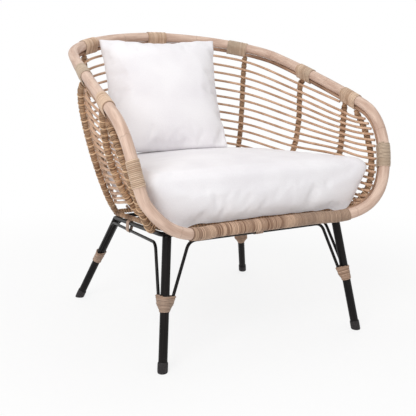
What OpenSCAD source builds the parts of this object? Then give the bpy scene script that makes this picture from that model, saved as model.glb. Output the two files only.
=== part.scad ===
// Rattan tub armchair on a black steel base.
// One thick cane hoop makes the front rail, both arms and the back rest's edge. Nine ribs hang
// from it to a rim on the base frame, thin rods run round the tub inside the ribs, and a loose
// seat cushion and a pillow lie in it. Millimetres. +X is to the right as the chair is faced,
// +Y is to the back, +Z is up, and the origin is on the floor under the middle of the chair.

/* [Hoop] */
// Diameter of the hoop cane
hoop_d = 28; // [24:1:32]
// Height of the front rail, middle of the cane
rail_z = 331; // [315:1:345]
// How far the front rail lies before the origin
rail_front = 323; // [300:1:340]
// Half of the straight stretch of the front rail
rail_half = 132; // [100:1:140]
// Half width of the hoop at the front of the arms
arm_half_w = 339; // [325:1:350]
// How far the front of the arms lies before the origin
arm_front = 346; // [335:1:360]
// Height of the front of the arms, where they turn up
arm_z = 413; // [400:1:425]
// Half width of the hoop at the shoulders
shoulder_half_w = 367; // [355:1:380]
// How far the shoulders lie before the origin
shoulder_front = 250; // [235:1:265]
// Height of the shoulders
shoulder_z = 598; // [580:1:615]
// Half width of the hoop where it turns to the back
corner_half_w = 326; // [315:1:335]
// How far behind the origin the hoop turns to the back
corner_back = 178; // [165:1:190]
// Height of the hoop where it turns to the back
corner_z = 744; // [730:1:760]
// How far the middle of the back lies behind the origin
back_back = 350; // [335:1:365]
// Height of the middle of the back
back_z = 799; // [780:1:820]

/* [Carrier cane and bindings] */
// Diameter of the carrier cane that runs inside the hoop
carrier_d = 10; // [8:1:12]
// Gap between the hoop and the carrier cane
carrier_gap = 2.5; // [1.5:0.5:5]
// Length of each binding along the hoop
binding_len = 66; // [50:1:80]
// Thickness of the wound peel
peel_t = 2; // [1.2:0.2:3]
// Length of the wrapped stretch of the front rail
rail_wrap_len = 472; // [400:1:480]

/* [Ribs and rods] */
// Diameter of the ribs
rib_d = 12; // [10:1:14]
// Thickness of the peel wound round the ribs
rib_peel_t = 1.5; // [0.8:0.1:2]
// Diameter of the rods that run round the tub
rod_d = 7.5; // [5:0.5:9]

/* [Base frame] */
// Diameter of the frame's steel tube
frame_d = 12; // [10:1:16]
// Half width of the frame's front corners
frame_front_half_w = 262; // [250:1:270]
// Half width of the frame's rear corners
frame_rear_half_w = 220; // [200:1:240]
// How far the frame's front lies before the origin
frame_front = 272; // [260:1:280]
// How far the frame's rear lies behind the origin
frame_rear = 183; // [170:1:195]
// Height of the frame at its front corners
frame_front_z = 320; // [312:1:322]
// Height of the frame at its rear corners
frame_rear_z = 270; // [262:1:280]
// Length of frame taken by the rounding on each side of a corner
frame_corner = 42; // [30:1:60]
// Diameter of the cane rim on the frame
rim_d = 14; // [12:1:16]
// Diameter of the seat canes
seat_cane_d = 10; // [8:1:12]
// Distance from one seat cane to the next
seat_cane_pitch = 58; // [45:1:62]

/* [Legs] */
// Diameter of the legs
leg_d = 22; // [20:1:25]
// Half width between the front feet
front_foot_half_w = 294; // [280:1:310]
// How far the front feet lie before the origin
front_foot_front = 323; // [310:1:335]
// Half width between the rear feet
rear_foot_half_w = 299; // [280:1:310]
// How far the rear feet lie behind the origin
rear_foot_back = 292; // [280:1:305]
// Height of the foot caps
cap_h = 24; // [18:1:30]
// Wall of the foot caps
cap_wall = 1.6; // [1.2:0.1:2.5]
// Thickness of the foot caps' soles
cap_sole = 5; // [4:0.5:8]
// Bevel round the foot caps' soles
cap_bevel = 1.5; // [0.5:0.5:3]

/* [Braces] */
// Diameter of the brace rods
brace_d = 8; // [6:1:9]
// Distance from the frame's centre line down to the front brace
front_drop = 20; // [16:0.5:24]
// Distance from the frame's centre line down to the front knees of the side braces
side_drop = 25; // [18:0.5:28]
// Distance from the frame's centre line down to the brace rods at the rear
rear_drop = 12; // [11.5:0.5:20]
// Distance along the frame from a front corner to the knees of the brace rods
front_reach = 64; // [55:1:75]
// Length of rod taken by the bend on each side of a knee
brace_bend = 20; // [12:1:30]
// Height of the top of the front leg bindings
front_tie_z = 179; // [170:1:195]
// Height of the top of the rear leg bindings
rear_tie_z = 160; // [150:1:175]
// Length of the front leg bindings
front_tie_len = 42; // [36:1:55]
// Length of the rear leg bindings
rear_tie_len = 36; // [32:1:46]
// Width of the straps that tie the braces to the frame
strap_w = 30; // [20:1:40]
// Thickness of the straps
strap_t = 1.6; // [1:0.1:2.5]

/* [Cushions] */
// Half width of the seat cushion
seat_half_w = 324; // [312:1:326]
// How far the seat cushion reaches before the origin
seat_front = 322; // [312:1:326]
// How far the seat cushion reaches behind the origin
seat_back = 267; // [250:1:272]
// Clearance between the widest part of the seat cushion and the rods beside it
seat_gap = 2; // [1:0.5:10]
// Thickness of the seat cushion at its edge, half way back
seat_h = 129; // [115:1:135]
// How far the middle of the seat cushion stands above its edge
seat_crown = 25; // [10:1:30]
// Side of the pillow, from corner to corner
pillow_w = 352; // [330:1:370]
// Thickness of the pillow
pillow_t = 120; // [90:1:130]
// How far each side of the pillow curves in
pillow_pinch = 16; // [8:1:24]
// How far the pillow leans back, in degrees
pillow_lean = 28; // [20:1:32]
// How far the pillow is turned to the left, in degrees
pillow_turn = 13; // [5:1:16]
// How far the middle of the pillow lies left of the origin
pillow_left = 88; // [70:1:95]
// How far the foot of the pillow lies behind the origin
pillow_foot_back = 66; // [55:1:80]
// Height of the foot of the pillow
pillow_foot_z = 477; // [474:1:490]

/* [Hidden] */
// Running clearance between pieces that touch on the real chair
fit = 0.3;
RODS = 17;

cane = "#cdb29a";
pale_cane = "#d8c0a8";
peel = "#bb9a72";
rod_tan = "#b98a60";
steel_black = "#1c1a1a";
cotton = "#f4f2f0";

hoop_r = hoop_d / 2;
carrier_r = carrier_d / 2;
rib_r = rib_d / 2;
rod_r = rod_d / 2;
frame_r = frame_d / 2;
rim_r = rim_d / 2;
seat_cane_r = seat_cane_d / 2;
leg_r = leg_d / 2;
brace_r = brace_d / 2;

// ---- Paths, frames and lofts ----

function unit(v) = v / norm(v);
function mix(a, b, t) = a + (b - a) * t;
// The part of a direction that is square to another
function across(v, t) = unit(v - t * (v * t));
// Direction that turns from +X towards +Y and then climbs, in degrees
function facing(turn, climb) = [cos(climb) * cos(turn), cos(climb) * sin(turn), sin(climb)];
function mirrored(p) = [-p.x, p.y, p.z];
function reversed(list) = [for (i = [len(list) - 1:-1:0]) list[i]];
function bezier(p, t) =
    let(u = 1 - t)
    u * u * u * p[0] + 3 * t * u * u * p[1] + 3 * t * t * u * p[2] + t * t * t * p[3];
function bezier_path(p, n) = [for (i = [0:n]) bezier(p, i / n)];
function running(path) =
    [for (i = 0, s = 0; i < len(path); s = s + norm(path[min(i + 1, len(path) - 1)] - path[i]), i = i + 1)
        s];
// A path with the share of its length at each point, so that at() can find any place along it
function measured(path) = let(s = running(path), total = s[len(s) - 1]) [s / total, path, total];
function at(m, f) = [for (k = [0:2]) lookup(f, [for (i = [0:len(m[1]) - 1]) [m[0][i], m[1][i][k]]])];
function heading(path, i) = unit(path[min(i + 1, len(path) - 1)] - path[max(i - 1, 0)]);

// Rounding of a corner c by a length on each side, from the run that comes from p to the one to q
function rounded(p, c, q, length, n) =
    let(a = c + unit(p - c) * length, b = c + unit(q - c) * length)
    [for (k = [0:n]) let(t = k / n) mix(mix(a, c, t), mix(c, b, t), t)];
// Straight runs joined by bends
function bent(points, length) = concat([points[0]],
    [for (i = [1:len(points) - 2]) each rounded(points[i - 1], points[i], points[i + 1], length, 4)],
    [points[len(points) - 1]]);

// Smooth curve through knots, with a number of steps for each span
function slope(k, i) =
    i == 0 ? k[1] - k[0] : i == len(k) - 1 ? k[i] - k[i - 1] :
    let(a = norm(k[i] - k[i - 1]), b = norm(k[i + 1] - k[i]))
    ((k[i] - k[i - 1]) / a * b + (k[i + 1] - k[i]) / b * a) / (a + b);
function smooth(k, steps) = concat(
    [for (i = [0:len(k) - 2])
        let(d = norm(k[i + 1] - k[i]),
            s0 = i == 0 ? slope(k, i) : slope(k, i) * d,
            s1 = i == len(k) - 2 ? slope(k, i + 1) : slope(k, i + 1) * d)
        each [for (j = [0:steps[i] - 1])
            bezier([k[i], k[i] + s0 / 3, k[i + 1] - s1 / 3, k[i + 1]], j / steps[i])]],
    [k[len(k) - 1]]);

function on_circle(r, a) = r * [cos(a), sin(a)];
function circle_outline(r, n) = [for (i = [0:n - 1]) on_circle(r, 360 * (i + 0.5) / n)];
// The band round a large circle at the origin and a small one at [d, 0]
function band_outline(big, small, d) =
    let(b = asin((big - small) / d), n = 8, few = 4)
    concat([for (i = [0:few]) [d, 0] + on_circle(small, -90 + b + (180 - 2 * b) * i / few)],
        [for (i = [0:n]) on_circle(big, 90 - b + (180 + 2 * b) * i / n)]);
// Radius of a many-sided opening whose flats clear a round piece inside it
function clear(r, n) = (r + fit) / cos(180 / n);

function ring(p, a, b, outline) = [for (q = outline) p + a * q[0] + b * q[1]];
// Rings square to a path, turned so that their first side faces a direction
function path_rings(path, outline, ref) =
    [for (i = [0:len(path) - 1])
        let(t = heading(path, i), a = across(ref, t)) ring(path[i], a, cross(t, a), outline)];

// Skin over a row of rings: closed on itself, or with a flat end at each end
module loft(rings, closed = false) {
    n = len(rings[0]);
    m = len(rings);
    sides = [for (i = [0:m - (closed ? 1 : 2)], j = [0:n - 1])
        let(a = i * n, b = ((i + 1) % m) * n, k = (j + 1) % n) [a + j, b + j, b + k, a + k]];
    ends = closed ? [] : [[for (j = [0:n - 1]) j], [for (j = [n - 1:-1:0]) (m - 1) * n + j]];
    polyhedron([for (r = rings) each r], concat(sides, ends), convexity = 8);
}

// Hollow sleeve between an outer and an inner row of rings
module sleeve(outer, inner) {
    n = len(outer[0]);
    w = len(outer) * n;
    last = w - n;
    faces = [for (i = [0:len(outer) - 2], j = [0:n - 1])
        let(a = i * n, b = a + n, k = (j + 1) % n)
        each [[a + j, b + j, b + k, a + k], [w + a + k, w + b + k, w + b + j, w + a + j]]];
    ends = [for (j = [0:n - 1])
        let(k = (j + 1) % n)
        each [[j, k, w + k, w + j], [last + k, last + j, w + last + j, w + last + k]]];
    points = concat([for (r = outer) each r], [for (r = inner) each r]);
    polyhedron(points, concat(faces, ends), convexity = 8);
}

module tube(path, r, sides, ref) {
    loft(path_rings(path, circle_outline(r, sides), ref));
}

// Turns what follows, drawn up +Z at the origin, to stand at a point along a direction
module stand(p, way) {
    translate(p) rotate([0, acos(way.z), atan2(way.y, way.x)]) children();
}

// Round bar between two points
module bar(a, b, r) {
    stand(a, unit(b - a)) cylinder(h = norm(b - a), r = r, $fn = 32);
}

module on_side(right) {
    if (right) children();
    else mirror([1, 0, 0]) children();
}

// ---- The hoop ----

// Places on the hoop and the way it runs there
rail_mid = [0, -rail_front, rail_z];
rail_end = [rail_half, -rail_front, rail_z];
arm = [arm_half_w, -arm_front, arm_z];
arm_way = facing(30, 55);
shoulder = [shoulder_half_w, -shoulder_front, shoulder_z];
shoulder_way = facing(88, 31);
corner = [corner_half_w, corner_back, corner_z];
corner_way = facing(111, 16);
back_mid = [0, back_back, back_z];
sideways = [1, 0, 0];
// How hard each place pulls the hoop along, before it and after it
rail_end_pull = 58;
arm_pulls = [112, 35];
shoulder_pulls = [98, 50];
corner_pulls = [63, 108];
back_pull = 134;

// The right half of the hoop. Each stretch is given by its ends, the ways it runs there, how hard each
// end pulls it along and the number of its steps.
function stretch(a, a_way, a_pull, b, b_way, b_pull, n) =
    bezier_path([a, a + a_way * a_pull, b - b_way * b_pull, b], n);
function after_first(list) = [for (i = [1:len(list) - 1]) list[i]];
hoop_half = measured(concat(
    [for (i = [0:3]) mix(rail_mid, rail_end, i / 4)],
    stretch(rail_end, sideways, rail_end_pull, arm, arm_way, arm_pulls[0], 14),
    after_first(stretch(arm, arm_way, arm_pulls[1], shoulder, shoulder_way, shoulder_pulls[0], 10)),
    after_first(stretch(shoulder, shoulder_way, shoulder_pulls[1], corner, corner_way, corner_pulls[0], 12)),
    after_first(stretch(corner, corner_way, corner_pulls[1], back_mid, -sideways, back_pull, 16))));

// Point on the hoop: 0 is the middle of the front rail, 1 the middle of the back, minus is the left half
function hoop_at(f) = f > 1 ? hoop_at(f - 2) : f < 0 ? mirrored(hoop_at(-f)) : at(hoop_half, f);
// Share of the hoop on each side of a place over which its direction is taken
hoop_step = 0.012;
function hoop_way(f) =
    abs(f) < hoop_step ? sideways : abs(f) > 1 - hoop_step ? -sideways :
    unit(hoop_at(f + hoop_step) - hoop_at(f - hoop_step));
// Line along X that the tub's wall leans towards from every place on the hoop
wall_y = -25;
wall_z = 430;
function hoop_in(f) = let(p = hoop_at(f)) across([0, max(p.y, wall_y) - p.y, wall_z - p.z], hoop_way(f));
function hoop_ring(f, outline) =
    let(t = hoop_way(f), a = hoop_in(f)) ring(hoop_at(f), a, cross(t, a), outline);
function share(length) = length / hoop_half[2];

module main_hoop() {
    count = 110;
    outline = circle_outline(hoop_r, 14);
    color(cane) loft([for (i = [0:count - 1]) hoop_ring(2 * i / count - 1, outline)], closed = true);
}

// ---- The carrier cane and the bindings ----

carrier_off = hoop_r + carrier_gap + carrier_r;
// Share of the hoop at which the carrier cane starts beside the front rail
carrier_end = 0.168;
function carrier_at(f) = hoop_at(f) + hoop_in(f) * carrier_off;

module carrier_cane() {
    count = 60;
    path = [for (i = [0:count]) carrier_at(mix(carrier_end, 2 - carrier_end, i / count))];
    color(pale_cane) tube(path, carrier_r, 8, [0, 0, 1]);
}

// Names of the bindings beside the one at the back, and their places along the hoop
bindings = [["arm", 0.310], ["shoulder", 0.469], ["side", 0.612], ["corner", 0.811]];
bound_hoop_r = clear(hoop_r, 16);
bound_carrier_r = clear(carrier_r, 8);

module hoop_binding(place) {
    half = share(binding_len) / 2;
    spots = [for (i = [-2:2]) place + half * i / 2];
    inner = band_outline(bound_hoop_r, bound_carrier_r, carrier_off);
    outer = band_outline(bound_hoop_r + peel_t, bound_carrier_r + peel_t, carrier_off);
    color(peel) sleeve([for (f = spots) hoop_ring(f, outer)], [for (f = spots) hoop_ring(f, inner)]);
}

module front_rail_wrap() {
    half = share(rail_wrap_len) / 2;
    steps = 8;
    spots = [for (i = [-steps:steps]) half * i / steps];
    inner = circle_outline(clear(hoop_r, 14), 14);
    outer = circle_outline(clear(hoop_r, 14) + peel_t, 14);
    color(peel) sleeve([for (f = spots) hoop_ring(f, outer)], [for (f = spots) hoop_ring(f, inner)]);
}

// ---- The base frame, its rim and the seat canes ----

frame_fall = (frame_front_z - frame_rear_z) / (frame_front + frame_rear);
frame_up = unit([0, frame_fall, 1]);
// Point on the frame's sloping plane, or raised from it along its own square
function frame_z(y, raise = 0) = frame_front_z - frame_fall * (y + frame_front) + raise / frame_up.z;
function frame_point(x, y, raise = 0) = [x, y, frame_z(y)] + frame_up * raise;
function frame_corner_at(front, raise = 0) =
    front ? frame_point(frame_front_half_w, -frame_front, raise)
        : frame_point(frame_rear_half_w, frame_rear, raise);
side_way = unit(frame_corner_at(false) - frame_corner_at(true));

function frame_loop(raise) =
    let(f = frame_corner_at(true, raise), r = frame_corner_at(false, raise),
        c = [f, r, mirrored(r), mirrored(f)])
    [for (i = [0:3]) each rounded(c[(i + 3) % 4], c[i], c[(i + 1) % 4], frame_corner, 5)];

module loop_tube(loop, r, sides) {
    n = len(loop);
    rings = [for (i = [0:n - 1])
        let(t = unit(loop[(i + 1) % n] - loop[(i + n - 1) % n]))
        ring(loop[i], frame_up, cross(t, frame_up), circle_outline(r, sides))];
    loft(rings, closed = true);
}

module base_frame() {
    color(steel_black) loop_tube(frame_loop(0), frame_r, 10);
}

// The straps pass between the frame and the rim
rim_raise = clear(frame_r, 16) + strap_t + fit + rim_r;
module base_rim() {
    color(peel) loop_tube(frame_loop(rim_raise), rim_r, 8);
}

seat_cane_raise = rim_raise + rim_r + seat_cane_r + fit;
seat_top_raise = seat_cane_raise + seat_cane_r;
module seat_canes() {
    count = floor((frame_rear_half_w - frame_corner) / seat_cane_pitch);
    color(rod_tan) for (i = [-count:count])
        bar(frame_point(i * seat_cane_pitch, -frame_front - rim_r, seat_cane_raise),
            frame_point(i * seat_cane_pitch, frame_rear, seat_cane_raise), seat_cane_r);
}

// ---- The ribs and the peel wound round them ----

// Middle of the rim's cane: a share of the way from the front corner back, or out along the rear
function rim_side(f) = mix(frame_corner_at(true, rim_raise), frame_corner_at(false, rim_raise), f);
function rim_rear(f) = frame_point(frame_rear_half_w * f, frame_rear, rim_raise);

// Name of each rib, its start as a share of the hoop, its place on the rim, the pull with which it
// leaves the hoop and the pull with which it stands up from the rim
ribs = [
    ["back", 1.000, rim_rear(0), [0, 15, -160], [0, 120, 50]],
    ["corner", 0.789, rim_rear(0.45), [-9, 17, -160], [161, 20, 24]],
    ["side", 0.618, rim_side(0.85), [10, 47, -25], [115, -160, 115]],
    ["front", 0.479, rim_side(0.18), [-4, -1, -109], [80, 15, 73]],
    ["arm", 0.437, rim_side(0.10), [-2, -64, -47], [88, -150, 5]]];
rib_steps = 12;
rib_sides = 8;
bound_rib_r = clear(rib_r, rib_sides);
wrapped_rib_r = bound_rib_r + rib_peel_t;
// How far off an end of a wrapped rib keeps from a round piece that it meets along a square n
function rib_keep(r, n, way) =
    let(w = unit(way)) n * (r + fit + wrapped_rib_r * norm(w - n * (w * n)));
function rib_bezier(k) =
    let(b = ribs[k], in = hoop_in(b[1]), rim_way = k < 2 ? sideways : side_way,
        a = hoop_at(b[1]) + in * carrier_off + rib_keep(bound_carrier_r + peel_t, in, b[3]),
        foot = b[2] + rib_keep(rim_r, across(b[4], rim_way), b[4]))
    [a, a + b[3], b[2] + b[4], foot];
rib_line = [for (k = [0:len(ribs) - 1]) measured(bezier_path(rib_bezier(k), rib_steps))];
rib_ref = [0.3, 1, 0];

module rib(k) {
    color(cane) tube(rib_line[k][1], rib_r, rib_sides, rib_ref);
}

// Shares of each rib's length at which its peel starts and ends
peel_from = 0.02;
peel_to = 0.95;

module rib_peel() {
    inner = circle_outline(bound_rib_r, rib_sides);
    outer = circle_outline(wrapped_rib_r, rib_sides);
    color(peel) for (k = [0:len(ribs) - 1], right = k == 0 ? [true] : [true, false]) {
        line = rib_line[k];
        middle = [for (i = [1:rib_steps - 1]) line[1][i]];
        path = concat([at(line, peel_from)], middle, [at(line, peel_to)]);
        on_side(right) sleeve(path_rings(path, outer, rib_ref), path_rings(path, inner, rib_ref));
    }
}

// ---- The rods ----

// Shares along the ribs at which the top rod, which ends at the shoulders, crosses the first three
top_rod = [0.022, 0.020, 0.003];
// Shares along each rib at which the second and the last rod cross it
second_rod = [0.070, 0.072, 0.071, 0.056, 0.030];
last_rod = [0.797, 0.797, 0.856, 0.847, 0.832];
// Shares along the hoop at which the top, the second and the last rod reach the carrier cane
top_end = 0.463;
second_end = 0.396;
last_end = 0.198;
rod_off = wrapped_rib_r + rod_r + fit;

function down(j) = (j - 2) / (RODS - 2);
function rod_share(k, j) = j == 1 ? top_rod[k] : mix(second_rod[k], last_rod[k], down(j));
function crossing(k, j) = at(rib_line[k], rod_share(k, j));
function rib_way(k, f) = unit(at(rib_line[k], min(f + 0.02, 1)) - at(rib_line[k], max(f - 0.02, 0)));
function end_share(j) = j == 1 ? top_end : mix(second_end, last_end, down(j));
// The foremost rib that a rod crosses
function fore_rib(j) = j == 1 ? 2 : 4;
// The rods lie on the inner side of the ribs
function rod_knot(k, j) =
    let(before = k == 0 ? mirrored(crossing(1, j)) : crossing(k - 1, j),
        after = k == fore_rib(j) ? carrier_at(end_share(j)) : crossing(k + 1, j))
    crossing(k, j) + unit(cross(rib_way(k, rod_share(k, j)), after - before)) * rod_off;
// Half of the stretch of the carrier cane on which a binding keeps the rods further off
binding_keep = share(binding_len / 2 + rod_d);
// The rods butt against the carrier cane, or against a binding round it
function rod_end(j) =
    let(f = end_share(j), p = carrier_at(f), way = unit(rod_knot(fore_rib(j), j) - p),
        lean = abs(way * hoop_way(f)),
        bound = min([for (b = bindings) abs(f - b[1])]) < binding_keep)
    p + way * (bound_carrier_r + (bound ? peel_t : 0) + fit + rod_r * lean) / sqrt(1 - lean * lean);
function rod_path(j) =
    let(right = [rod_end(j), for (k = [fore_rib(j):-1:1]) rod_knot(k, j)],
        steps = j == 1 ? [5, 4, 4] : [2, 2, 3, 4, 4],
        knots = concat(right, [rod_knot(0, j)], [for (p = reversed(right)) mirrored(p)]))
    smooth(knots, concat(steps, reversed(steps)));

module rod(j) {
    color(rod_tan) tube(rod_path(j), rod_r, 6, [0, 0, 1]);
}

// ---- The legs and foot caps ----

// The legs stand under the rounded corners of the frame
function leg_top(front) =
    let(c = frame_corner_at(front), along = front ? side_way : -side_way)
    c + (along - sideways) * frame_corner / 4;
function leg_foot(front) =
    front ? [front_foot_half_w, -front_foot_front, 0] : [rear_foot_half_w, rear_foot_back, 0];
function leg_way(front) = unit(leg_top(front) - leg_foot(front));
function leg_at(front, z) = let(w = leg_way(front)) leg_foot(front) + w * (z / w.z);
// The tube's square end stands this far above its lowest edge
function end_rise(front) = let(w = leg_way(front)) leg_r * sqrt(1 - w.z * w.z) * w.z;

module leg(front) {
    top = leg_top(front) - leg_way(front) * (frame_r + fit + end_rise(front));
    color(steel_black) bar(leg_at(front, cap_sole + end_rise(front)), top, leg_r);
}

cap_sides = 24;
// Ring round a leg at a height, square to it
function leg_ring(front, z, r) =
    let(w = leg_way(front), a = across(sideways, w))
    ring(leg_at(front, z), a, cross(w, a), circle_outline(r, cap_sides));
// The same ring slid along the leg until it is level
function level_ring(front, z, r) =
    let(w = leg_way(front)) [for (p = leg_ring(front, z, r)) p + w * ((z - p.z) / w.z)];

// A cup whose sole lies flat on the floor, with a small bevel round its edge
module foot_cap(front) {
    bore = clear(leg_r, cap_sides);
    outer = bore + cap_wall;
    loft([level_ring(front, 0, outer - cap_bevel), level_ring(front, cap_bevel, outer),
        leg_ring(front, cap_h, outer), leg_ring(front, cap_h, bore),
        leg_ring(front, cap_sole + end_rise(front) - fit, bore)]);
}

module foot_caps() {
    color(steel_black) for (front = [true, false], right = [true, false]) on_side(right) foot_cap(front);
}

// ---- The braces, the leg ties and the straps ----

tie_hold = brace_r + leg_r + 2 * fit;
// Share of a leg binding's length that holds the brace rods
tie_grip = 0.55;
function tie_z(front) = front ? front_tie_z : rear_tie_z;
function tie_len(front) = front ? front_tie_len : rear_tie_len;
// Direction square to the frame's side, outward
outward = cross(side_way, frame_up);
// Sides of the legs on which the tied ends of the cross braces and of the side braces lie
function cross_side(front) = front ? -sideways : [-1, 0.5, 0];
function side_side(front) = front ? side_way + outward : [1, -1, 0];
// A brace rod's place beside a leg at a height
function beside(front, z, toward, off) = leg_at(front, z) + across(toward, leg_way(front)) * off;
function brace_foot(front, toward) =
    beside(front, tie_z(front) - tie_len(front) * tie_grip, toward, tie_hold);
// At the rear the rods come up beside the legs, this much further off at their knees than at the ties
knee_out = 1;
function rear_knee(toward) = beside(false, frame_z(frame_rear, -rear_drop), toward, tie_hold + knee_out);
// How far outward of the frame's centre line the side braces have their front knees
side_knee_out = 2.5;

// Each half brace runs from its tied end to its knee below the frame
function cross_half(front) = [brace_foot(front, cross_side(front)),
    front ? frame_corner_at(true) - sideways * front_reach - frame_up * front_drop
        : rear_knee(cross_side(false))];
function side_half(front) = [brace_foot(front, side_side(front)),
    front ? frame_corner_at(true) + side_way * front_reach + outward * side_knee_out - frame_up * side_drop
        : rear_knee(side_side(false))];

module cross_brace(front) {
    half = cross_half(front);
    path = concat(half, [for (p = reversed(half)) mirrored(p)]);
    color(steel_black) tube(bent(path, brace_bend), brace_r, 8, [0, 1, 0]);
}

module side_brace() {
    path = concat(side_half(true), reversed(side_half(false)));
    color(steel_black) tube(bent(path, brace_bend), brace_r, 8, sideways);
}

// Thin disc square to a leg
module leg_disc(front, p, r) {
    stand(p, leg_way(front)) cylinder(h = 0.01, r = r, $fn = 20);
}

// Tapered block round a leg and the brace rods' ends, grown by a length and drawn out at its ends
module tie_body(front, grow, out = 0) {
    halves = [cross_half(front), side_half(front)];
    top = tie_z(front) + out;
    hull() {
        leg_disc(front, leg_at(front, top), leg_r + grow);
        leg_disc(front, leg_at(front, tie_z(front) - tie_len(front) - out), leg_r + grow);
        for (h = halves) {
            leg_disc(front, h[0], brace_r + grow);
            leg_disc(front, mix(h[0], h[1], (top - h[0].z) / (h[1].z - h[0].z)), brace_r + grow);
        }
    }
}

module leg_ties(front) {
    color(peel) for (right = [true, false]) on_side(right) difference() {
        tie_body(front, peel_t + 2 * fit);
        tie_body(front, 2 * fit, 1);
    }
}

// Share of the frame's side, from the front, at which the side straps sit
side_strap_at = 0.62;

// Outline of an end of a strap, round the frame at p and the brace rod at q, grown by a length
function strap_ring(p, q, way, grow) =
    let(step = q - p - way * ((q - p) * way), to_rod = unit(step),
        band = band_outline(clear(frame_r, 16) + grow, clear(brace_r, 8) + grow, norm(step)))
    ring(p, to_rod, cross(way, to_rod), band);
// Sleeve wound round the frame, which runs from a to b there, and the brace rod, which runs from c to d
module strap(a, b, c, d) {
    way = unit(b - a);
    sleeve([strap_ring(a, c, way, strap_t), strap_ring(b, d, way, strap_t)],
        [strap_ring(a, c, way, 0), strap_ring(b, d, way, 0)]);
}
// Point at a share of the right side of the frame, from the front, and the point of the brace beside it
function side_frame_at(f) = mix(frame_corner_at(true), frame_corner_at(false), f);
function side_run_at(f) =
    let(a = side_half(true)[1], b = side_half(false)[1], y = side_frame_at(f).y)
    mix(a, b, (y - a.y) / (b.y - a.y));

module brace_straps() {
    color(peel) {
        for (front = [true, false]) {
            mid = frame_point(0, front ? -frame_front : frame_rear);
            knee = cross_half(front)[1];
            half = sideways * strap_w / 2;
            strap(mid - half, mid + half, [0, knee.y, knee.z] - half, [0, knee.y, knee.z] + half);
        }
        half = strap_w / 2 / norm(frame_corner_at(false) - frame_corner_at(true));
        f = side_strap_at - half;
        g = side_strap_at + half;
        for (right = [true, false]) on_side(right)
            strap(side_frame_at(f), side_frame_at(g), side_run_at(f), side_run_at(g));
    }
}

// ---- The soft pieces ----

seat_mid_y = -60;
// Share of the way from the frame out to the hoop at which the ribs stand beside the widest part of the
// cushion
seat_wall_side = 0.645;
frame_mid_half_w = (frame_front_half_w + frame_rear_half_w) / 2;
seat_wall_off = rod_off + rod_r + seat_gap;
// How far the underside stays inside the frame, at the sides and at the rear
seat_foot_side = 8;
seat_foot_back = 40;
// The cushion's top falls less towards the back than the frame, so it is thicker there
seat_fall = 0.045;
seat_corner_r = 26;
// Half width half way back
seat_mid_half_w = mix(frame_mid_half_w, shoulder_half_w, seat_wall_side) - seat_wall_off;
// How square the round back is: 2 is an ellipse
seat_square = 2.3;
// Plan of the seat cushion about its middle: a blunt front corner, a side that tapers and half the back
seat_reach = [seat_front + seat_mid_y, seat_back - seat_mid_y];
seat_corner = [seat_half_w - seat_corner_r, seat_corner_r - seat_reach[0]];
seat_right = concat(
    [for (x = [0:3]) [seat_half_w * x / 4, -seat_reach[0]]],
    [for (a = [-90:22.5:0]) seat_corner + on_circle(seat_corner_r, a)],
    [for (t = [1:3]) mix(seat_corner + [seat_corner_r, 0], [seat_mid_half_w, 0], t / 4)],
    [for (a = [0:11.25:90]) let(x = pow(cos(a), 2 / seat_square), y = pow(sin(a), 2 / seat_square))
        [x * seat_mid_half_w, y * seat_reach[1]]]);
seat_plan = concat(seat_right, [for (i = [len(seat_right) - 2:-1:1]) [-seat_right[i].x, seat_right[i].y]]);
seat_low_w = (frame_mid_half_w - seat_foot_side) / seat_mid_half_w;
seat_low_back = (frame_rear - seat_foot_back - seat_mid_y) / seat_reach[1];
// Side levels from the underside up: how far the width and the reach to the back have grown out to their
// widest, the share of the reach to the front, and the share of the edge's thickness
seat_side_levels = [
    [0, 0, 0.90, 0], [0.25, 0.21, 0.94, 0.04], [0.375, 0.37, 0.96, 0.18], [0.52, 0.55, 0.98, 0.34],
    [0.71, 0.71, 0.99, 0.50], [0.83, 0.83, 1, 0.65], [1, 0.94, 1, 0.82]];
// At each level from the underside to the crown: shares of the plan's width, of its reach to the front,
// of its reach to the back, and of the edge's thickness
seat_levels = concat(
    [for (l = seat_side_levels) [mix(seat_low_w, 1, l[0]), l[2], mix(seat_low_back, 1, l[1]), l[3]]],
    [[0.985, 0.985, 0.97, 0.94], [0.94, 0.94, 0.94, 1], [0.7, 0.7, 0.7, 1], [0.3, 0.3, 0.3, 1]]);
// Share of what a level lacks in width that the front corners win back
corner_bulge = 0.12;
function seat_point(q, l) =
    let(side = l[3] < 1, lack = side ? (1 - l[0]) * corner_bulge * min(1, 5 * l[3]) : 0,
        x = q.x * (q.y < 0 ? l[0] - lack * q.y / seat_reach[0] : mix(l[0], l[2], q.y / seat_reach[1])),
        y = seat_mid_y + q.y * (q.y < 0 ? l[1] : l[2]),
        edge_h = seat_h + (y - seat_mid_y) * (frame_fall - seat_fall),
        crown = side ? 0 : seat_crown * (1 - l[0] * l[0]))
    [x, y, frame_z(y, seat_top_raise) + fit + l[3] * edge_h + crown];

module seat_cushion() {
    color(cotton) loft([for (l = seat_levels) [for (q = seat_plan) seat_point(q, l)]]);
}

// Pillow: a square with pulled-in sides and pointed corners, thick in the middle
function pillow_edge(i, count) =
    let(q = count / 4, side = floor(i / q), t = (i % q) / q * 2 - 1,
        p = [pillow_w / 2 - pillow_pinch * (1 - t * t), t * pillow_w / 2])
    side == 0 ? p : side == 1 ? [-p.y, p.x] : side == 2 ? [-p.x, -p.y] : [p.y, -p.x];
pillow_levels = [[1, 0.02], [0.95, 0.24], [0.84, 0.52], [0.66, 0.78], [0.42, 0.94], [0.16, 1]];

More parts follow.
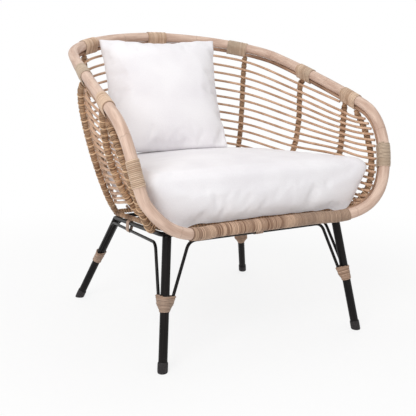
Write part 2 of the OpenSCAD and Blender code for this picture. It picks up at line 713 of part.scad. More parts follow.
module pillow() {
    count = 32;
    levels = concat(reversed([for (l = pillow_levels) [l[0], -l[1]]]), pillow_levels);
    rings = [for (l = levels) [for (i = [0:count - 1])
        let(e = pillow_edge(i, count) * l[0]) [e.x, e.y, l[1] * pillow_t / 2]]];
    color(cotton)
        translate([-pillow_left, pillow_foot_back, pillow_foot_z])
        rotate([0, 0, -pillow_turn]) rotate([90 - pillow_lean, 0, 0]) translate([0, pillow_w / 2, 0])
        loft(rings);
}

// ---- The nodes ----

main_hoop();
carrier_cane();
front_rail_wrap();
hoop_binding(1);  // back_binding
for (b = bindings) {
    hoop_binding(b[1]);
    mirror([1, 0, 0]) hoop_binding(b[1]);
}
rib(0);  // back_rib
for (k = [1:len(ribs) - 1]) {
    rib(k);
    mirror([1, 0, 0]) rib(k);
}
rib_peel();
for (j = [1:RODS])
    rod(j);
base_rim();
seat_canes();
base_frame();
leg(true);  // front_leg_right
mirror([1, 0, 0]) leg(true);  // front_leg_left
leg(false);  // rear_leg_right
mirror([1, 0, 0]) leg(false);  // rear_leg_left
foot_caps();
cross_brace(true);  // front_brace
cross_brace(false);  // rear_brace
side_brace();  // right_brace
mirror([1, 0, 0]) side_brace();  // left_brace
leg_ties(true);  // front_leg_ties
leg_ties(false);  // rear_leg_ties
brace_straps();
seat_cushion();
pillow();
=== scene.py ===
import math

import bpy
import numpy as np
from mathutils import Matrix, Vector
from mathutils.bvhtree import BVHTree


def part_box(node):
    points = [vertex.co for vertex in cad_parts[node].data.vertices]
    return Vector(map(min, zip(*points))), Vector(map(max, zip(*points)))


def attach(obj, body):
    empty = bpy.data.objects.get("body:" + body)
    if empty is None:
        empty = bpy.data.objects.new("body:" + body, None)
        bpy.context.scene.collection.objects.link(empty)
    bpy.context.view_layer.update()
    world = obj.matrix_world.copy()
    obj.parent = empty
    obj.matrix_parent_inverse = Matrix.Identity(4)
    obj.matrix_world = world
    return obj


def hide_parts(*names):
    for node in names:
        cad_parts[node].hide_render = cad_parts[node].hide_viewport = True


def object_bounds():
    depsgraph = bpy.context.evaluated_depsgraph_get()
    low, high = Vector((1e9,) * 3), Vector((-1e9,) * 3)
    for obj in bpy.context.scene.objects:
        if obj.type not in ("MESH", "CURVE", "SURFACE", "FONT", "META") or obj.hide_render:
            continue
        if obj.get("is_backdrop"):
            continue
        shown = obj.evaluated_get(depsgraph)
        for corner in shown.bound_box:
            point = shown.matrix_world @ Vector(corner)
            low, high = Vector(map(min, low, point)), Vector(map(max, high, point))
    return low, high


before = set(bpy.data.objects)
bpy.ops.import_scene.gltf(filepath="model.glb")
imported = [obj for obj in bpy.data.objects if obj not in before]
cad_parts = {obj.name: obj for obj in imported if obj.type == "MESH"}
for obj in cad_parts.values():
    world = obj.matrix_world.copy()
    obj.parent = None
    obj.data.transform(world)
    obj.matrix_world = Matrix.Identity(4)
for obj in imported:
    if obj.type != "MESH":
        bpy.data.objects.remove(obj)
cad_low, cad_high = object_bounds()

# ---- Main hoop ----
# One rattan cane 28 mm thick, steam-bent into a closed loop that makes the front rail, both arms and
# the top of the back. The bark is sanded off and the cane is whitewashed, so that fine fibres and a
# faint ring at each joint of the plant show through a thin milky finish.


def unit(v):
    return v / np.linalg.norm(v, axis=-1, keepdims=True)


def across(v, way):
    """The part of a direction that is square to another."""
    return unit(v - way * np.sum(v * way, axis=-1, keepdims=True))


def facing(turn, climb):
    """Direction that turns from +X towards +Y and then climbs, in degrees."""
    t, c = math.radians(turn), math.radians(climb)
    return np.array([math.cos(c) * math.cos(t), math.cos(c) * math.sin(t), math.sin(c)])


def pulled(a, a_pull, b, b_pull, steps):
    """Smooth curve from a to b, pulled out by a_pull at a and back by b_pull at b."""
    t = np.linspace(0, 1, steps + 1)[:, None]
    near_a = (1 - t) ** 3 * a + 3 * t * (1 - t) ** 2 * (a + a_pull)
    return near_a + 3 * t * t * (1 - t) * (b + b_pull) + t**3 * b


class Run:
    """The line a cane follows, in millimetres, with two ways square to it, by the distance along."""

    def __init__(self, points, side, start=0.0):
        self.p = np.asarray(points, float)
        steps = np.linalg.norm(np.diff(self.p, axis=0), axis=1)
        self.length = steps.sum()
        self.d = start + np.concatenate([[0], np.cumsum(steps)])
        self.t = unit(np.gradient(self.p, axis=0))
        self.a = across(np.broadcast_to(np.asarray(side, float), self.p.shape), self.t)

    def pick(self, rows, d):
        return np.stack([np.interp(d, self.d, rows[:, k]) for k in range(3)], -1)

    def at(self, d):
        """Place, side, second side and way at one or more distances."""
        t = unit(self.pick(self.t, d))
        a = across(self.pick(self.a, d), t)
        return self.pick(self.p, d), a, np.cross(t, a), t

    def share(self, f):
        return self.pick(self.p, self.d[0] + f * self.length)


SIDEWAYS = np.array([1.0, 0, 0])
rail_middle, rail_end = np.array([0.0, -323, 331]), np.array([132.0, -323, 331])
arm, arm_way = np.array([339.0, -346, 413]), facing(30, 55)
shoulder, shoulder_way = np.array([367.0, -250, 598]), facing(88, 31)
corner, corner_way = np.array([326.0, 178, 744]), facing(111, 16)
back_middle = np.array([0.0, 350, 799])
hoop_right = Run(
    np.concatenate([
        [rail_middle],
        pulled(rail_end, SIDEWAYS * 58, arm, arm_way * -112, 60),
        pulled(arm, arm_way * 35, shoulder, shoulder_way * -98, 60)[1:],
        pulled(shoulder, shoulder_way * 50, corner, corner_way * -63, 80)[1:],
        pulled(corner, corner_way * 108, back_middle, SIDEWAYS * 134, 80)[1:],
    ]),
    (0, 0.3, 1),
)
HOOP_HALF = hoop_right.length
HOOP_R, HOOP_JOINTS = 14.0, 262.0
HOOP_LAP = 1.06
# The wall hangs from the hoop towards this height, and in front of this depth it leans back too
TUB_FRONT, TUB_WAIST = -25, 430


def hoop_at(f):
    """Middle of the hoop's cane. 0 is the front rail's middle, 1 the back's, minus the left half."""
    f = (np.asarray(f, float) + 1) % 2 - 1
    p = hoop_right.share(np.abs(f))
    return np.stack([np.where(f < 0, -p[..., 0], p[..., 0]), p[..., 1], p[..., 2]], -1)


def hoop_way(f):
    return unit(hoop_at(np.asarray(f) + 0.006) - hoop_at(np.asarray(f) - 0.006))


def hoop_in(f):
    """Way from the hoop into the tub's wall, square to the cane."""
    x, y, z = np.moveaxis(hoop_at(f), -1, 0)
    return across(np.stack([x * 0, np.maximum(y, TUB_FRONT) - y, TUB_WAIST - z], -1), hoop_way(f))


def skin(rings, closed=False):
    """Faces over a row of rings, with a flat end at each end unless it closes on itself."""
    n, m = rings.shape[:2]
    i, j = np.arange(n if closed else n - 1)[:, None], np.arange(m)
    k, after = (j + 1) % m, (i + 1) % n
    faces = np.stack(np.broadcast_arrays(i * m + j, i * m + k, after * m + k, after * m + j), -1)
    faces = faces.reshape(-1, 4).tolist()
    ends = [] if closed else [list(range(m))[::-1], list(range((n - 1) * m, n * m))]
    return faces, ends


def round_part(run, d, r, corners, shift=0.0, closed=False):
    """A round rod along a run: its rings, and the place of every point on it as if it lay straight.
    The shift along the rod keeps its fibres and joints apart from its neighbours'."""
    p, a, b, _ = run.at(d)
    turn = np.linspace(0, 2 * math.pi, corners, endpoint=False)
    r = np.broadcast_to(r, d.shape)[:, None]
    x, y = r * np.cos(turn), r * np.sin(turn)
    rings = p[:, None] + a[:, None] * x[..., None] + b[:, None] * y[..., None]
    return rings, np.stack([np.broadcast_to(d[:, None] + shift, x.shape), x, y], -1), closed


MM = 0.001


def placed(name, data):
    thing = bpy.data.objects.new(name, data)
    bpy.context.scene.collection.objects.link(thing)
    return thing


def make(name, parts, material):
    """One object from parts in millimetres, each (rings, grain, closed). Grain steers the finish."""
    points, grain, faces, flat, n = [], [], [], [], 0
    for rings, where, closed in parts:
        sides, ends = skin(rings, closed)
        points.append(rings.reshape(-1, 3) * MM)
        grain.append(where.reshape(-1, 3))
        faces += [[n + v for v in f] for f in sides + ends]
        flat += [True] * len(sides) + [False] * len(ends)
        n += rings.shape[0] * rings.shape[1]
    mesh = bpy.data.meshes.new(name)
    mesh.from_pydata(np.concatenate(points).tolist(), [], faces)
    mesh.attributes.new("grain", "FLOAT_VECTOR", "POINT").data.foreach_set(
        "vector", np.concatenate(grain).astype(np.float32).ravel())
    mesh.polygons.foreach_set("use_smooth", flat)
    mesh.materials.append(material)
    return placed(name, mesh)


def ink(code):
    """An sRGB hex value as a linear colour."""
    c = [int(code[i : i + 2], 16) / 255 for i in (1, 3, 5)]
    return tuple(x / 12.92 if x <= 0.04045 else ((x + 0.055) / 1.055) ** 2.4 for x in c) + (1.0,)


def add(material, kind, settings, feeds):
    """Adds a node with its settings and links. A feed is a value or another node's output."""
    nodes, links = material.node_tree.nodes, material.node_tree.links
    node = nodes["Principled BSDF"] if kind == "surface" else nodes.new("ShaderNode" + kind)
    for key, value in settings.items():
        if key == "stops":
            while len(node.color_ramp.elements) < len(value):
                node.color_ramp.elements.new(0.5)
            for stop, (place, colour) in zip(node.color_ramp.elements, value):
                stop.position, stop.color = place, colour
        else:
            setattr(node, key, value)
    for key, value in feeds.items():
        if isinstance(value, bpy.types.NodeSocket):
            links.new(value, node.inputs[key])
        else:
            node.inputs[key].default_value = value
    return node.outputs


def finish(name):
    """A material to which the nodes of one finish are added."""
    material = bpy.data.materials.new(name)
    material.use_nodes = True
    return material


def stretched(material, x, y, z):
    """The cane's own coordinates in millimetres, times a scale each way."""
    grain = add(material, "Attribute", {"attribute_name": "grain"}, {})["Vector"]
    return add(material, "VectorMath", {"operation": "MULTIPLY"}, {0: grain, 1: (x, y, z)})[0]


RGBA = {"data_type": "RGBA"}


def cane_finish(name, light, dark, joint, joint_pitch, roughness):
    """Peeled cane: fibres about 0.6 mm wide and 40 mm long, cloudy patches about 60 mm long, and a
    thin dark ring every joint_pitch mm, under a thin matt wash. It scatters light softly."""
    m = finish(name)
    fibres, clouds = stretched(m, 0.025, 1.6, 1.6), stretched(m, 0.016, 0.09, 0.09)
    fibre = add(m, "TexNoise", {}, {"Vector": fibres, "Scale": 1.0, "Detail": 3.0})[0]
    cloud = add(m, "TexNoise", {}, {"Vector": clouds, "Scale": 1.0, "Detail": 2.0})[0]
    along = add(m, "SeparateXYZ", {}, {0: stretched(m, 1, 1, 1)})["X"]
    wander = add(m, "Math", {"operation": "MULTIPLY_ADD"}, {0: cloud, 1: 14.0, 2: along})[0]
    near = add(m, "Math", {"operation": "PINGPONG"}, {0: wander, 1: joint_pitch / 2})[0]
    ring = add(m, "MapRange", {}, {0: near, 1: 0.0, 2: 2.2, 3: 0.45, 4: 0.0})[0]
    patches = add(m, "MapRange", {}, {0: cloud, 1: 0.36, 2: 0.64, 3: 0.0, 4: 1.0})[0]
    base = add(m, "Mix", RGBA, {0: patches, 6: ink(light), 7: ink(dark)})[2]
    lines = add(m, "MapRange", {}, {0: fibre, 1: 0.46, 2: 0.74, 3: 0.0, 4: 0.6})[0]
    base = add(m, "Mix", RGBA, {0: lines, 6: base, 7: ink(joint)})[2]
    base = add(m, "Mix", RGBA, {0: ring, 6: base, 7: ink(joint)})[2]
    smooth, rough = roughness - 0.07, roughness + 0.1
    gloss = add(m, "MapRange", {}, {0: fibre, 1: 0.3, 2: 0.7, 3: smooth, 4: rough})[0]
    bump = add(m, "Bump", {}, {"Strength": 0.5, "Distance": 0.0004, "Height": fibre})[0]
    add(m, "surface", {}, {"Base Color": base, "Roughness": gloss, "Normal": bump,
                           "Specular IOR Level": 0.35})
    return m


whitewashed_cane = cane_finish("whitewashed_rattan_cane", "#dec3b1", "#c6a896", "#a08371",
                               HOOP_JOINTS, 0.5)


def cane_radius(d, r, pitch, swell):
    """Radius along a cane that swells a little at its joints and wavers between them."""
    near = np.abs((d + 40) % pitch - pitch / 2)
    waver = 0.012 * np.sin(d / 37) * np.sin(d / 91)
    return r * (1 - swell / 2 + swell * np.exp(-((near / 7) ** 2)) + waver)


# The line laps past the middle of the back, so that the back's binding lies on one stretch of it
f = np.linspace(-HOOP_LAP, HOOP_LAP, 1400)
hoop_run = Run(hoop_at(f), hoop_in(f), start=-HOOP_LAP * HOOP_HALF)
d = np.linspace(-HOOP_HALF, HOOP_HALF, 900, endpoint=False)
hoop_r = cane_radius(d, HOOP_R, HOOP_JOINTS, 0.02)
hoop = make("main_hoop_cane", [round_part(hoop_run, d, hoop_r, 32, closed=True)], whitewashed_cane)
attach(hoop, "chair")
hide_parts("main_hoop")

# ---- Carrier cane ----
# A cane about 10 mm thick, tied a few millimetres inside the hoop, from one arm's foot over the back
# to the other. The ribs and rods end on it. It is browner than the hoop, and the bindings draw it up.

CARRIER_R, CARRIER_OFF, CARRIER_END, CARRIER_JOINTS = 5.0, 21.5, 0.168, 190.0
# How much nearer to the hoop, and how much thicker, the cane shows than its solid
DRAWN_UP, FULLER = 1.6, 0.5


def carrier_at(f):
    return hoop_at(f) + hoop_in(f) * CARRIER_OFF


grey_cane = cane_finish("greyed_rattan_cane", "#b8947b", "#8b6a54", "#5f4838", CARRIER_JOINTS, 0.55)
f = np.linspace(CARRIER_END, 2 - CARRIER_END, 700)
carrier_run = Run(carrier_at(f) - hoop_in(f) * DRAWN_UP, hoop_in(f))
d = np.linspace(0, carrier_run.length, 600)
carrier_r = cane_radius(d, CARRIER_R + FULLER, CARRIER_JOINTS, 0.05)
carrier = make("carrier_cane_rod", [round_part(carrier_run, d, carrier_r, 14)], grey_cane)
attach(carrier, "chair")
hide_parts("carrier_cane")

# ---- Front rail wrap ----
# The straight front stretch of the hoop is wound with split peel 3.6 mm wide, turn against turn, for
# a smooth, hard-wearing edge. Peel differs from strip to strip, so the turns differ too.

WRAP_HALF = 236
PEEL_MARK = 3.7


def hull_outline(circles, count=48):
    """Outline of a strip pulled tight round some circles, (x, y, r) each: points and outward ways."""
    turn = np.linspace(0, 2 * math.pi, 720, endpoint=False)
    n = np.stack([np.cos(turn), np.sin(turn)], -1)
    c = np.asarray(circles, float)
    reach = n @ c[:, :2].T + c[:, 2]
    which = reach.argmax(1)
    p = c[which, :2] + n * c[which, 2:]
    p, n = np.vstack([p, p[:1]]), np.vstack([n, n[:1]])
    s = np.concatenate([[0], np.cumsum(np.linalg.norm(np.diff(p, axis=0), axis=1))])
    u = np.linspace(0, s[-1], count, endpoint=False)
    at = lambda rows: np.stack([np.interp(u, s, rows[:, k]) for k in (0, 1)], -1)
    return at(p), unit(at(n))


def wind(run, outlines, start, stop, pitch, width, thick, first_turn, waver=0.0, count=48):
    """A strip of peel wound along a run. Outlines hold one or more sets of circles, from start to
    stop. Its grain is the turn's number, the place across the strip and the length wound so far."""
    turns = (stop - start - width) / pitch
    s = np.linspace(0, turns, int(turns * count) + 1)
    d = start + width / 2 + s * pitch
    sets = [hull_outline(c, count) for c in outlines]
    shapes = np.array([np.concatenate(x, 1) for x in sets])
    level = np.clip((d - start) / (stop - start), 0, 1) * (len(sets) - 1)
    low = np.minimum(level.astype(int), max(len(sets) - 2, 0))
    next_up, mix = np.minimum(low + 1, len(sets) - 1), (level - low)[:, None]
    around = (s * count) % count
    j, part = around.astype(int) % count, (around % 1)[:, None]
    step = lambda k: shapes[k, j] * (1 - part) + shapes[k, (j + 1) % count] * part
    q = step(low) * (1 - mix) + step(next_up) * mix
    out = unit(q[:, 2:])
    p, a, b, t = run.at(d)
    wobble = waver * np.sin(s * 2.9 + first_turn) * np.sin(s * 7.1 + 2 * first_turn)
    middle = p + a * q[:, :1] + b * q[:, 1:2] + t * wobble[:, None]
    normal = a * out[:, :1] + b * out[:, 1:]
    wide = np.array([-0.5, 0.5, 0.5, 0.28, 0, -0.28, -0.5])
    high = np.array([0, 0, 0.55, 0.95, 1, 0.95, 0.55])
    lift = 1 + 0.12 * np.sin(s * 1.7 + first_turn * 0.3)[:, None]
    rings = (middle[:, None] + t[:, None] * (wide * width)[:, None]
             + normal[:, None] * (high * thick * lift)[..., None])
    length = np.concatenate([[0], np.cumsum(np.linalg.norm(np.diff(middle, axis=0), axis=1))])
    turn = (first_turn + s)[:, None]
    return rings, np.stack(np.broadcast_arrays(turn, wide * PEEL_MARK, length[:, None]), -1), False


def peel_finish(name, light, dark, grey, crease_shade_colour, roughness):
    """Split rattan peel: it keeps its glassy bark side out, so it shines a little, its tone changes
    from turn to turn, faint streaks 0.4 mm wide run along it, and painted shade darkens the edges of
    each turn, where the creases between turns lie."""
    m = finish(name)
    turns, bands, spells = (stretched(m, *k) for k in ((0.9, 0, 0.002), (0.11, 0, 0), (0.013, 0, 0)))
    single = add(m, "TexNoise", {}, {"Vector": turns, "Scale": 1.0, "Detail": 1.0})[0]
    group = add(m, "TexNoise", {}, {"Vector": bands, "Scale": 1.0, "Detail": 1.0})[0]
    bunch = add(m, "TexNoise", {}, {"Vector": spells, "Scale": 1.0, "Detail": 0.0})[0]
    streaks = stretched(m, 3.1, 2.4, 0.03)
    streak = add(m, "TexNoise", {}, {"Vector": streaks, "Scale": 1.0, "Detail": 3.0})[0]
    both = add(m, "Math", {"operation": "ADD"}, {0: single, 1: group})[0]
    tone = add(m, "MapRange", {}, {0: both, 1: 0.83, 2: 1.17, 3: 0.0, 4: 1.0})[0]
    base = add(m, "Mix", RGBA, {0: tone, 6: ink(dark), 7: ink(light)})[2]
    greyed = add(m, "MapRange", {}, {0: bunch, 1: 0.45, 2: 0.62, 3: 0.0, 4: 0.7})[0]
    base = add(m, "Mix", RGBA, {0: greyed, 6: base, 7: ink(grey)})[2]
    lines = add(m, "MapRange", {}, {0: streak, 1: 0.5, 2: 0.75, 3: 0.0, 4: 0.55})[0]
    base = add(m, "Mix", RGBA, {0: lines, 6: base, 7: ink(dark)})[2]
    # Painted shade: each turn darkens towards its edges, standing in for the shade in the creases
    # between turns
    across_strip = add(m, "SeparateXYZ", {}, {0: stretched(m, 1, 1, 1)})["Y"]
    edge = add(m, "Math", {"operation": "ABSOLUTE"}, {0: across_strip})[0]
    dirt = add(m, "MapRange", {}, {0: edge, 1: 1.15, 2: 1.9, 3: 0.0, 4: 0.75})[0]
    base = add(m, "Mix", RGBA, {0: dirt, 6: base, 7: ink(crease_shade_colour)})[2]
    smooth, rough = roughness - 0.08, roughness + 0.12
    gloss = add(m, "MapRange", {}, {0: streak, 1: 0.3, 2: 0.7, 3: smooth, 4: rough})[0]
    bump = add(m, "Bump", {}, {"Strength": 0.5, "Distance": 0.0003, "Height": streak})[0]
    add(m, "surface", {}, {"Base Color": base, "Roughness": gloss, "Normal": bump,
                           "Specular IOR Level": 0.4})
    return m


# The fifth colour of every peel finish is painted shade for the creases between turns
brown_peel = peel_finish("split_rattan_peel_brown", "#d6b499", "#826049", "#a38b78", "#3d2a1e", 0.42)
rail_turns = wind(hoop_run, [[(0, 0, HOOP_R + 0.2)]], -WRAP_HALF, WRAP_HALF,
                  pitch=3.75, width=3.6, thick=1.7, first_turn=0, waver=0.15)
wrap = make("front_rail_wound_peel", [rail_turns], brown_peel)
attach(wrap, "chair")
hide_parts("front_rail_wrap")

# ---- Hoop bindings ----
# Nine wound bands of split peel, 66 mm long, tie the carrier cane to the hoop: one behind the head
# and four on each side. The strip is pulled tight round both canes, so the band is pear-shaped.

BINDING_HALF = 33
FIT = 0.3
pale_peel = peel_finish("split_rattan_peel_pale", "#e2c6ac", "#bd9c81", "#b9aa96", "#705746", 0.45)
pear = [(0, 0, HOOP_R + FIT), (CARRIER_OFF, 0, CARRIER_R + FIT)]
bindings = {"back": 1.0, "corner": 0.811, "side": 0.612, "shoulder": 0.469, "arm": 0.310}


def handed(name, alone=False):
    """Mirror side and node of each of a pair, right and left, or of one that is alone."""
    return [(1, name)] if alone else [(1, name + "_right"), (-1, name + "_left")]


for i, (place, share) in enumerate(bindings.items()):
    for side, node in handed(place + "_binding", place == "back"):
        middle = side * share * HOOP_HALF
        turns = wind(hoop_run, [pear], middle - BINDING_HALF, middle + BINDING_HALF,
                     pitch=3.8, width=3.65, thick=1.8, first_turn=60 * i + 23 * side, waver=0.2)
        band = make(node + "_wound_peel", [turns], pale_peel)
        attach(band, "chair")
        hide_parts(node)

# ---- Base frame ----
# A ring of 12 mm steel tube with rounded corners that falls to the rear, bent and welded, then powder
# coated satin black. Everything woven stands on it and the legs hang from it.

FRAME_R, BEND = 6.0, 42.0
FRONT_HALF_W, FRONT_Y, FRONT_Z = 262, -272, 320
REAR_HALF_W, REAR_Y, REAR_Z = 220, 183, 270
FALL = (FRONT_Z - REAR_Z) / (REAR_Y - FRONT_Y)
FRAME_UP = unit(np.array([0, FALL, 1.0]))


def clear(r, corners):
    """Radius of a many-cornered opening that clears a round piece."""
    return (r + FIT) / math.cos(math.pi / corners)


def frame_point(x, y, lift=0.0):
    return np.array([x, y, FRONT_Z - FALL * (y - FRONT_Y)]) + FRAME_UP * lift


def frame_corner(front, lift=0.0):
    x, y = (FRONT_HALF_W, FRONT_Y) if front else (REAR_HALF_W, REAR_Y)
    return frame_point(x, y, lift)


def flipped(p):
    return p * np.array([-1.0, 1, 1])


def rounded(p, c, q, length, steps=14):
    """Bend at c between the runs that come from p and go to q."""
    a, b = c + unit(p - c) * length, c + unit(q - c) * length
    t = np.linspace(0, 1, steps)[:, None]
    return (1 - t) ** 2 * a + 2 * t * (1 - t) * c + t * t * b


def frame_loop(lift):
    f, r = frame_corner(True, lift), frame_corner(False, lift)
    c = [f, r, flipped(r), flipped(f)]
    return np.concatenate([rounded(c[i - 1], c[i], c[(i + 1) % 4], BEND) for i in range(4)])


def closed_run(points, side):
    """A run round a closed line, a little more than once, and the distance once round."""
    around = np.linalg.norm(points - np.roll(points, -1, axis=0), axis=1).sum()
    longer = np.concatenate([points[-1:], points, points[:2]])
    run = Run(longer, side, start=-np.linalg.norm(points[0] - points[-1]))
    dense = np.arange(-6, around + 6, 3.0)
    p = run.pick(run.p, dense)
    return Run(p, side, start=dense[0]), around


SIDE_WAY = unit(frame_corner(False) - frame_corner(True))
OUTWARD = np.cross(SIDE_WAY, FRAME_UP)


def steel_finish(name, roughness):
    """Powder-coated steel: a dense black skin with a soft orange-peel texture about 1.5 mm across and
    fine lengthwise drawing marks from the tube under it, a little paler where they lie."""
    m = finish(name)
    dimples, drawn = stretched(m, 0.65, 0.65, 0.65), stretched(m, 0.012, 0.55, 0.55)
    orange_peel = add(m, "TexNoise", {}, {"Vector": dimples, "Scale": 1.0, "Detail": 2.0})[0]
    marks = add(m, "TexNoise", {}, {"Vector": drawn, "Scale": 1.0, "Detail": 3.0})[0]
    worn = add(m, "MapRange", {}, {0: marks, 1: 0.45, 2: 0.75, 3: 0.0, 4: 1.0})[0]
    base = add(m, "Mix", RGBA, {0: worn, 6: ink("#0d0b0b"), 7: ink("#1f1a19")})[2]
    smooth, rough = roughness - 0.06, roughness + 0.1
    gloss = add(m, "MapRange", {}, {0: marks, 1: 0.3, 2: 0.7, 3: smooth, 4: rough})[0]
    height = add(m, "Math", {"operation": "MULTIPLY_ADD"}, {0: marks, 1: 2.0, 2: orange_peel})[0]
    bump = add(m, "Bump", {}, {"Strength": 0.35, "Distance": 0.0003, "Height": height})[0]
    add(m, "surface", {}, {"Base Color": base, "Roughness": gloss, "Normal": bump,
                           "Specular IOR Level": 0.15})
    return m


satin_black = steel_finish("satin_black_powder_coat", 0.36)
frame_run, frame_round = closed_run(frame_loop(0), FRAME_UP)
d = np.arange(0, frame_round - 2, 4.0)
ring = make("base_frame_tube", [round_part(frame_run, d, FRAME_R, 20, closed=True)], satin_black)
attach(ring, "chair")
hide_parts("base_frame")

# ---- Rim ----
# A cane ring on the frame, 14 mm thick with its peel. Twisted peel is wound round it in thick turns
# with gaps between them, and the ribs stand on it.

# The rim clears the straps that hold the braces to the frame
RIM_R, STRAP_T = 7.0, 1.6
RIM_LIFT = clear(FRAME_R, 16) + STRAP_T + FIT + RIM_R
rough_peel = peel_finish("twisted_rattan_peel", "#c9a07c", "#7f5c3f", "#a08266", "#22160f", 0.5)
rim_run, rim_round = closed_run(frame_loop(RIM_LIFT), FRAME_UP)
d = np.arange(0, rim_round - 2, 5.0)
core = round_part(rim_run, d, RIM_R - 1.4, 14, closed=True)
rim_turns = wind(rim_run, [[(0, 0, RIM_R - 1.5)]], 0, rim_round,
                 pitch=8.2, width=6.2, thick=1.5, first_turn=400, waver=0.8, count=24)
rim = make("rim_lashed_with_peel", [core, rim_turns], rough_peel)
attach(rim, "chair")
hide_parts("base_rim")

# ---- Seat canes ----
# Seven brown canes, 10 mm thick, lie across the rim from front to rear, 58 mm apart. They carry the
# seat cushion and are hidden under it.

SEAT_CANE_R, SEAT_CANE_PITCH, BROWN_JOINTS = 5.0, 58.0, 150.0
SEAT_CANE_LIFT = RIM_LIFT + RIM_R + SEAT_CANE_R + FIT
brown_cane = cane_finish("brown_rattan_cane", "#b48c69", "#84624a", "#4e392b", BROWN_JOINTS, 0.55)
rods_across = []
for i in range(-3, 4):
    ends = [frame_point(i * SEAT_CANE_PITCH, y, SEAT_CANE_LIFT) for y in (FRONT_Y - RIM_R, REAR_Y)]
    run = Run(np.linspace(*ends, 40), FRAME_UP)
    d = np.linspace(0, run.length, 90)
    r = cane_radius(d + 31 * i, SEAT_CANE_R, BROWN_JOINTS, 0.05)
    rods_across.append(round_part(run, d, r, 14, shift=977 * i))
seat_rods = make("seat_cane_rods", rods_across, brown_cane)
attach(seat_rods, "chair")
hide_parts("seat_canes")

# ---- Ribs ----
# Nine 12 mm canes stand on the rim and end under the carrier cane: one in the middle of the back and
# four on each side. Each is lashed all the way up with brown peel, one pale strand at every rod.

RIB_R, LASHED_T, BINDING_T = 6.0, 1.5, 2.0
WRAPPED_RIB_R = clear(RIB_R, 8) + LASHED_T
BOUND_CARRIER_R = clear(CARRIER_R, 8)


def rim_side(f):
    return frame_corner(True, RIM_LIFT) * (1 - f) + frame_corner(False, RIM_LIFT) * f


def rim_rear(f):
    return frame_point(REAR_HALF_W * f, REAR_Y, RIM_LIFT)


def rib_keep(r, n, pull):
    """How far off a round piece a wrapped rib's end keeps, along the square n between them."""
    w = unit(pull)
    return n * (r + FIT + WRAPPED_RIB_R * np.linalg.norm(w - n * (w @ n)))


# Name, share of the hoop, place on the rim, and the rib's pull at the hoop and at the rim
RIBS = [
    ("back", 1.000, rim_rear(0), (0, 15, -160), (0, 120, 50)),
    ("corner", 0.789, rim_rear(0.45), (-9, 17, -160), (161, 20, 24)),
    ("side", 0.618, rim_side(0.85), (10, 47, -25), (115, -160, 115)),
    ("front", 0.479, rim_side(0.18), (-4, -1, -109), (80, 15, 73)),
    ("arm", 0.437, rim_side(0.10), (-2, -64, -47), (88, -150, 5)),
]
rib_runs = []
for k, (_, share, foot, top_pull, foot_pull) in enumerate(RIBS):
    top_pull, foot_pull = np.array(top_pull, float), np.array(foot_pull, float)
    inward = hoop_in(share)
    top = carrier_at(share) + rib_keep(BOUND_CARRIER_R + BINDING_T, inward, top_pull)
    rim_way = SIDEWAYS if k < 2 else SIDE_WAY
    low = foot + rib_keep(RIM_R, across(foot_pull, rim_way), foot_pull)
    rib_runs.append(Run(pulled(top, top_pull, low, foot + foot_pull - low, 80), (0.3, 1, 0)))

# ---- Rods ----
# Seventeen 7.5 mm canes, natural tan with darker joints, run round the tub inside the ribs and butt
# against the carrier cane at both ends. The top one runs on beside it to the shoulders' bindings.

ROD_R, ROD_JOINTS, RODS = 3.75, 118.0, 17
ROD_OFF = WRAPPED_RIB_R + ROD_R + FIT
TOP_ROD = (0.022, 0.020, 0.003)
SECOND_ROD = (0.070, 0.072, 0.071, 0.056, 0.030)
LAST_ROD = (0.797, 0.797, 0.856, 0.847, 0.832)
TOP_END, SECOND_END, LAST_END = 0.463, 0.396, 0.198
BINDING_KEEP = (BINDING_HALF + 2 * ROD_R) / HOOP_HALF


def rod_share(k, j):
    """How far down rib k rod j crosses it."""
    if j == 1:
        return TOP_ROD[k]
    return SECOND_ROD[k] + (LAST_ROD[k] - SECOND_ROD[k]) * (j - 2) / (RODS - 2)


def crossing(k, j):
    return rib_runs[k].share(rod_share(k, j))


def fore_rib(j):
    """The foremost rib a rod crosses."""
    return 2 if j == 1 else 4


def end_share(j):
    """Where on the hoop a rod ends."""
    return TOP_END if j == 1 else SECOND_END + (LAST_END - SECOND_END) * (j - 2) / (RODS - 2)


def rod_knot(k, j):
    """Where a rod crosses the inner side of a rib, and the way from the rib to the rod there."""
    before = flipped(crossing(1, j)) if k == 0 else crossing(k - 1, j)
    after = carrier_at(end_share(j)) if k == fore_rib(j) else crossing(k + 1, j)
    s = rod_share(k, j)
    way = rib_runs[k].share(min(s + 0.02, 1)) - rib_runs[k].share(max(s - 0.02, 0))
    inner = unit(np.cross(unit(way), after - before))
    return crossing(k, j) + inner * ROD_OFF, inner


def rod_end(j):
    """Where a rod butts against the carrier cane, or against a binding round it."""
    f = end_share(j)
    p = carrier_at(f)
    way = unit(rod_knot(fore_rib(j), j)[0] - p)
    lean = abs(way @ hoop_way(f))
    bound = min(abs(f - share) for share in bindings.values()) < BINDING_KEEP
    off = BOUND_CARRIER_R + (BINDING_T if bound else 0) + FIT + ROD_R * lean
    return p + way * off / math.sqrt(1 - lean * lean)


def rod_tip(j):
    """Where a rod's end shows. The top one's is just inside the shoulder's binding."""
    if j > 1:
        return rod_end(j)
    f = bindings["shoulder"] + (BINDING_HALF - 2) / HOOP_HALF
    p = carrier_at(f)
    return p + across(rod_knot(2, 1)[0] - p, hoop_way(f)) * (CARRIER_R + ROD_R + FIT)


def through(knots, steps):
    """Smooth curve through knots."""
    k = np.asarray(knots)
    gaps = np.linalg.norm(np.diff(k, axis=0), axis=1)[:, None]
    legs = np.diff(k, axis=0) / gaps
    slopes = np.vstack([legs[:1] * gaps[:1],
                        (legs[:-1] * gaps[1:] + legs[1:] * gaps[:-1]) / (gaps[:-1] + gaps[1:]),
                        legs[-1:] * gaps[-1:]])
    out = [k[:1]]
    for i in range(len(k) - 1):
        first = slopes[i] if i == 0 else slopes[i] * gaps[i]
        last = slopes[i + 1] if i == len(k) - 2 else slopes[i + 1] * gaps[i]
        out.append(pulled(k[i], first / 3, k[i + 1], -last / 3, steps)[1:])
    return np.concatenate(out)


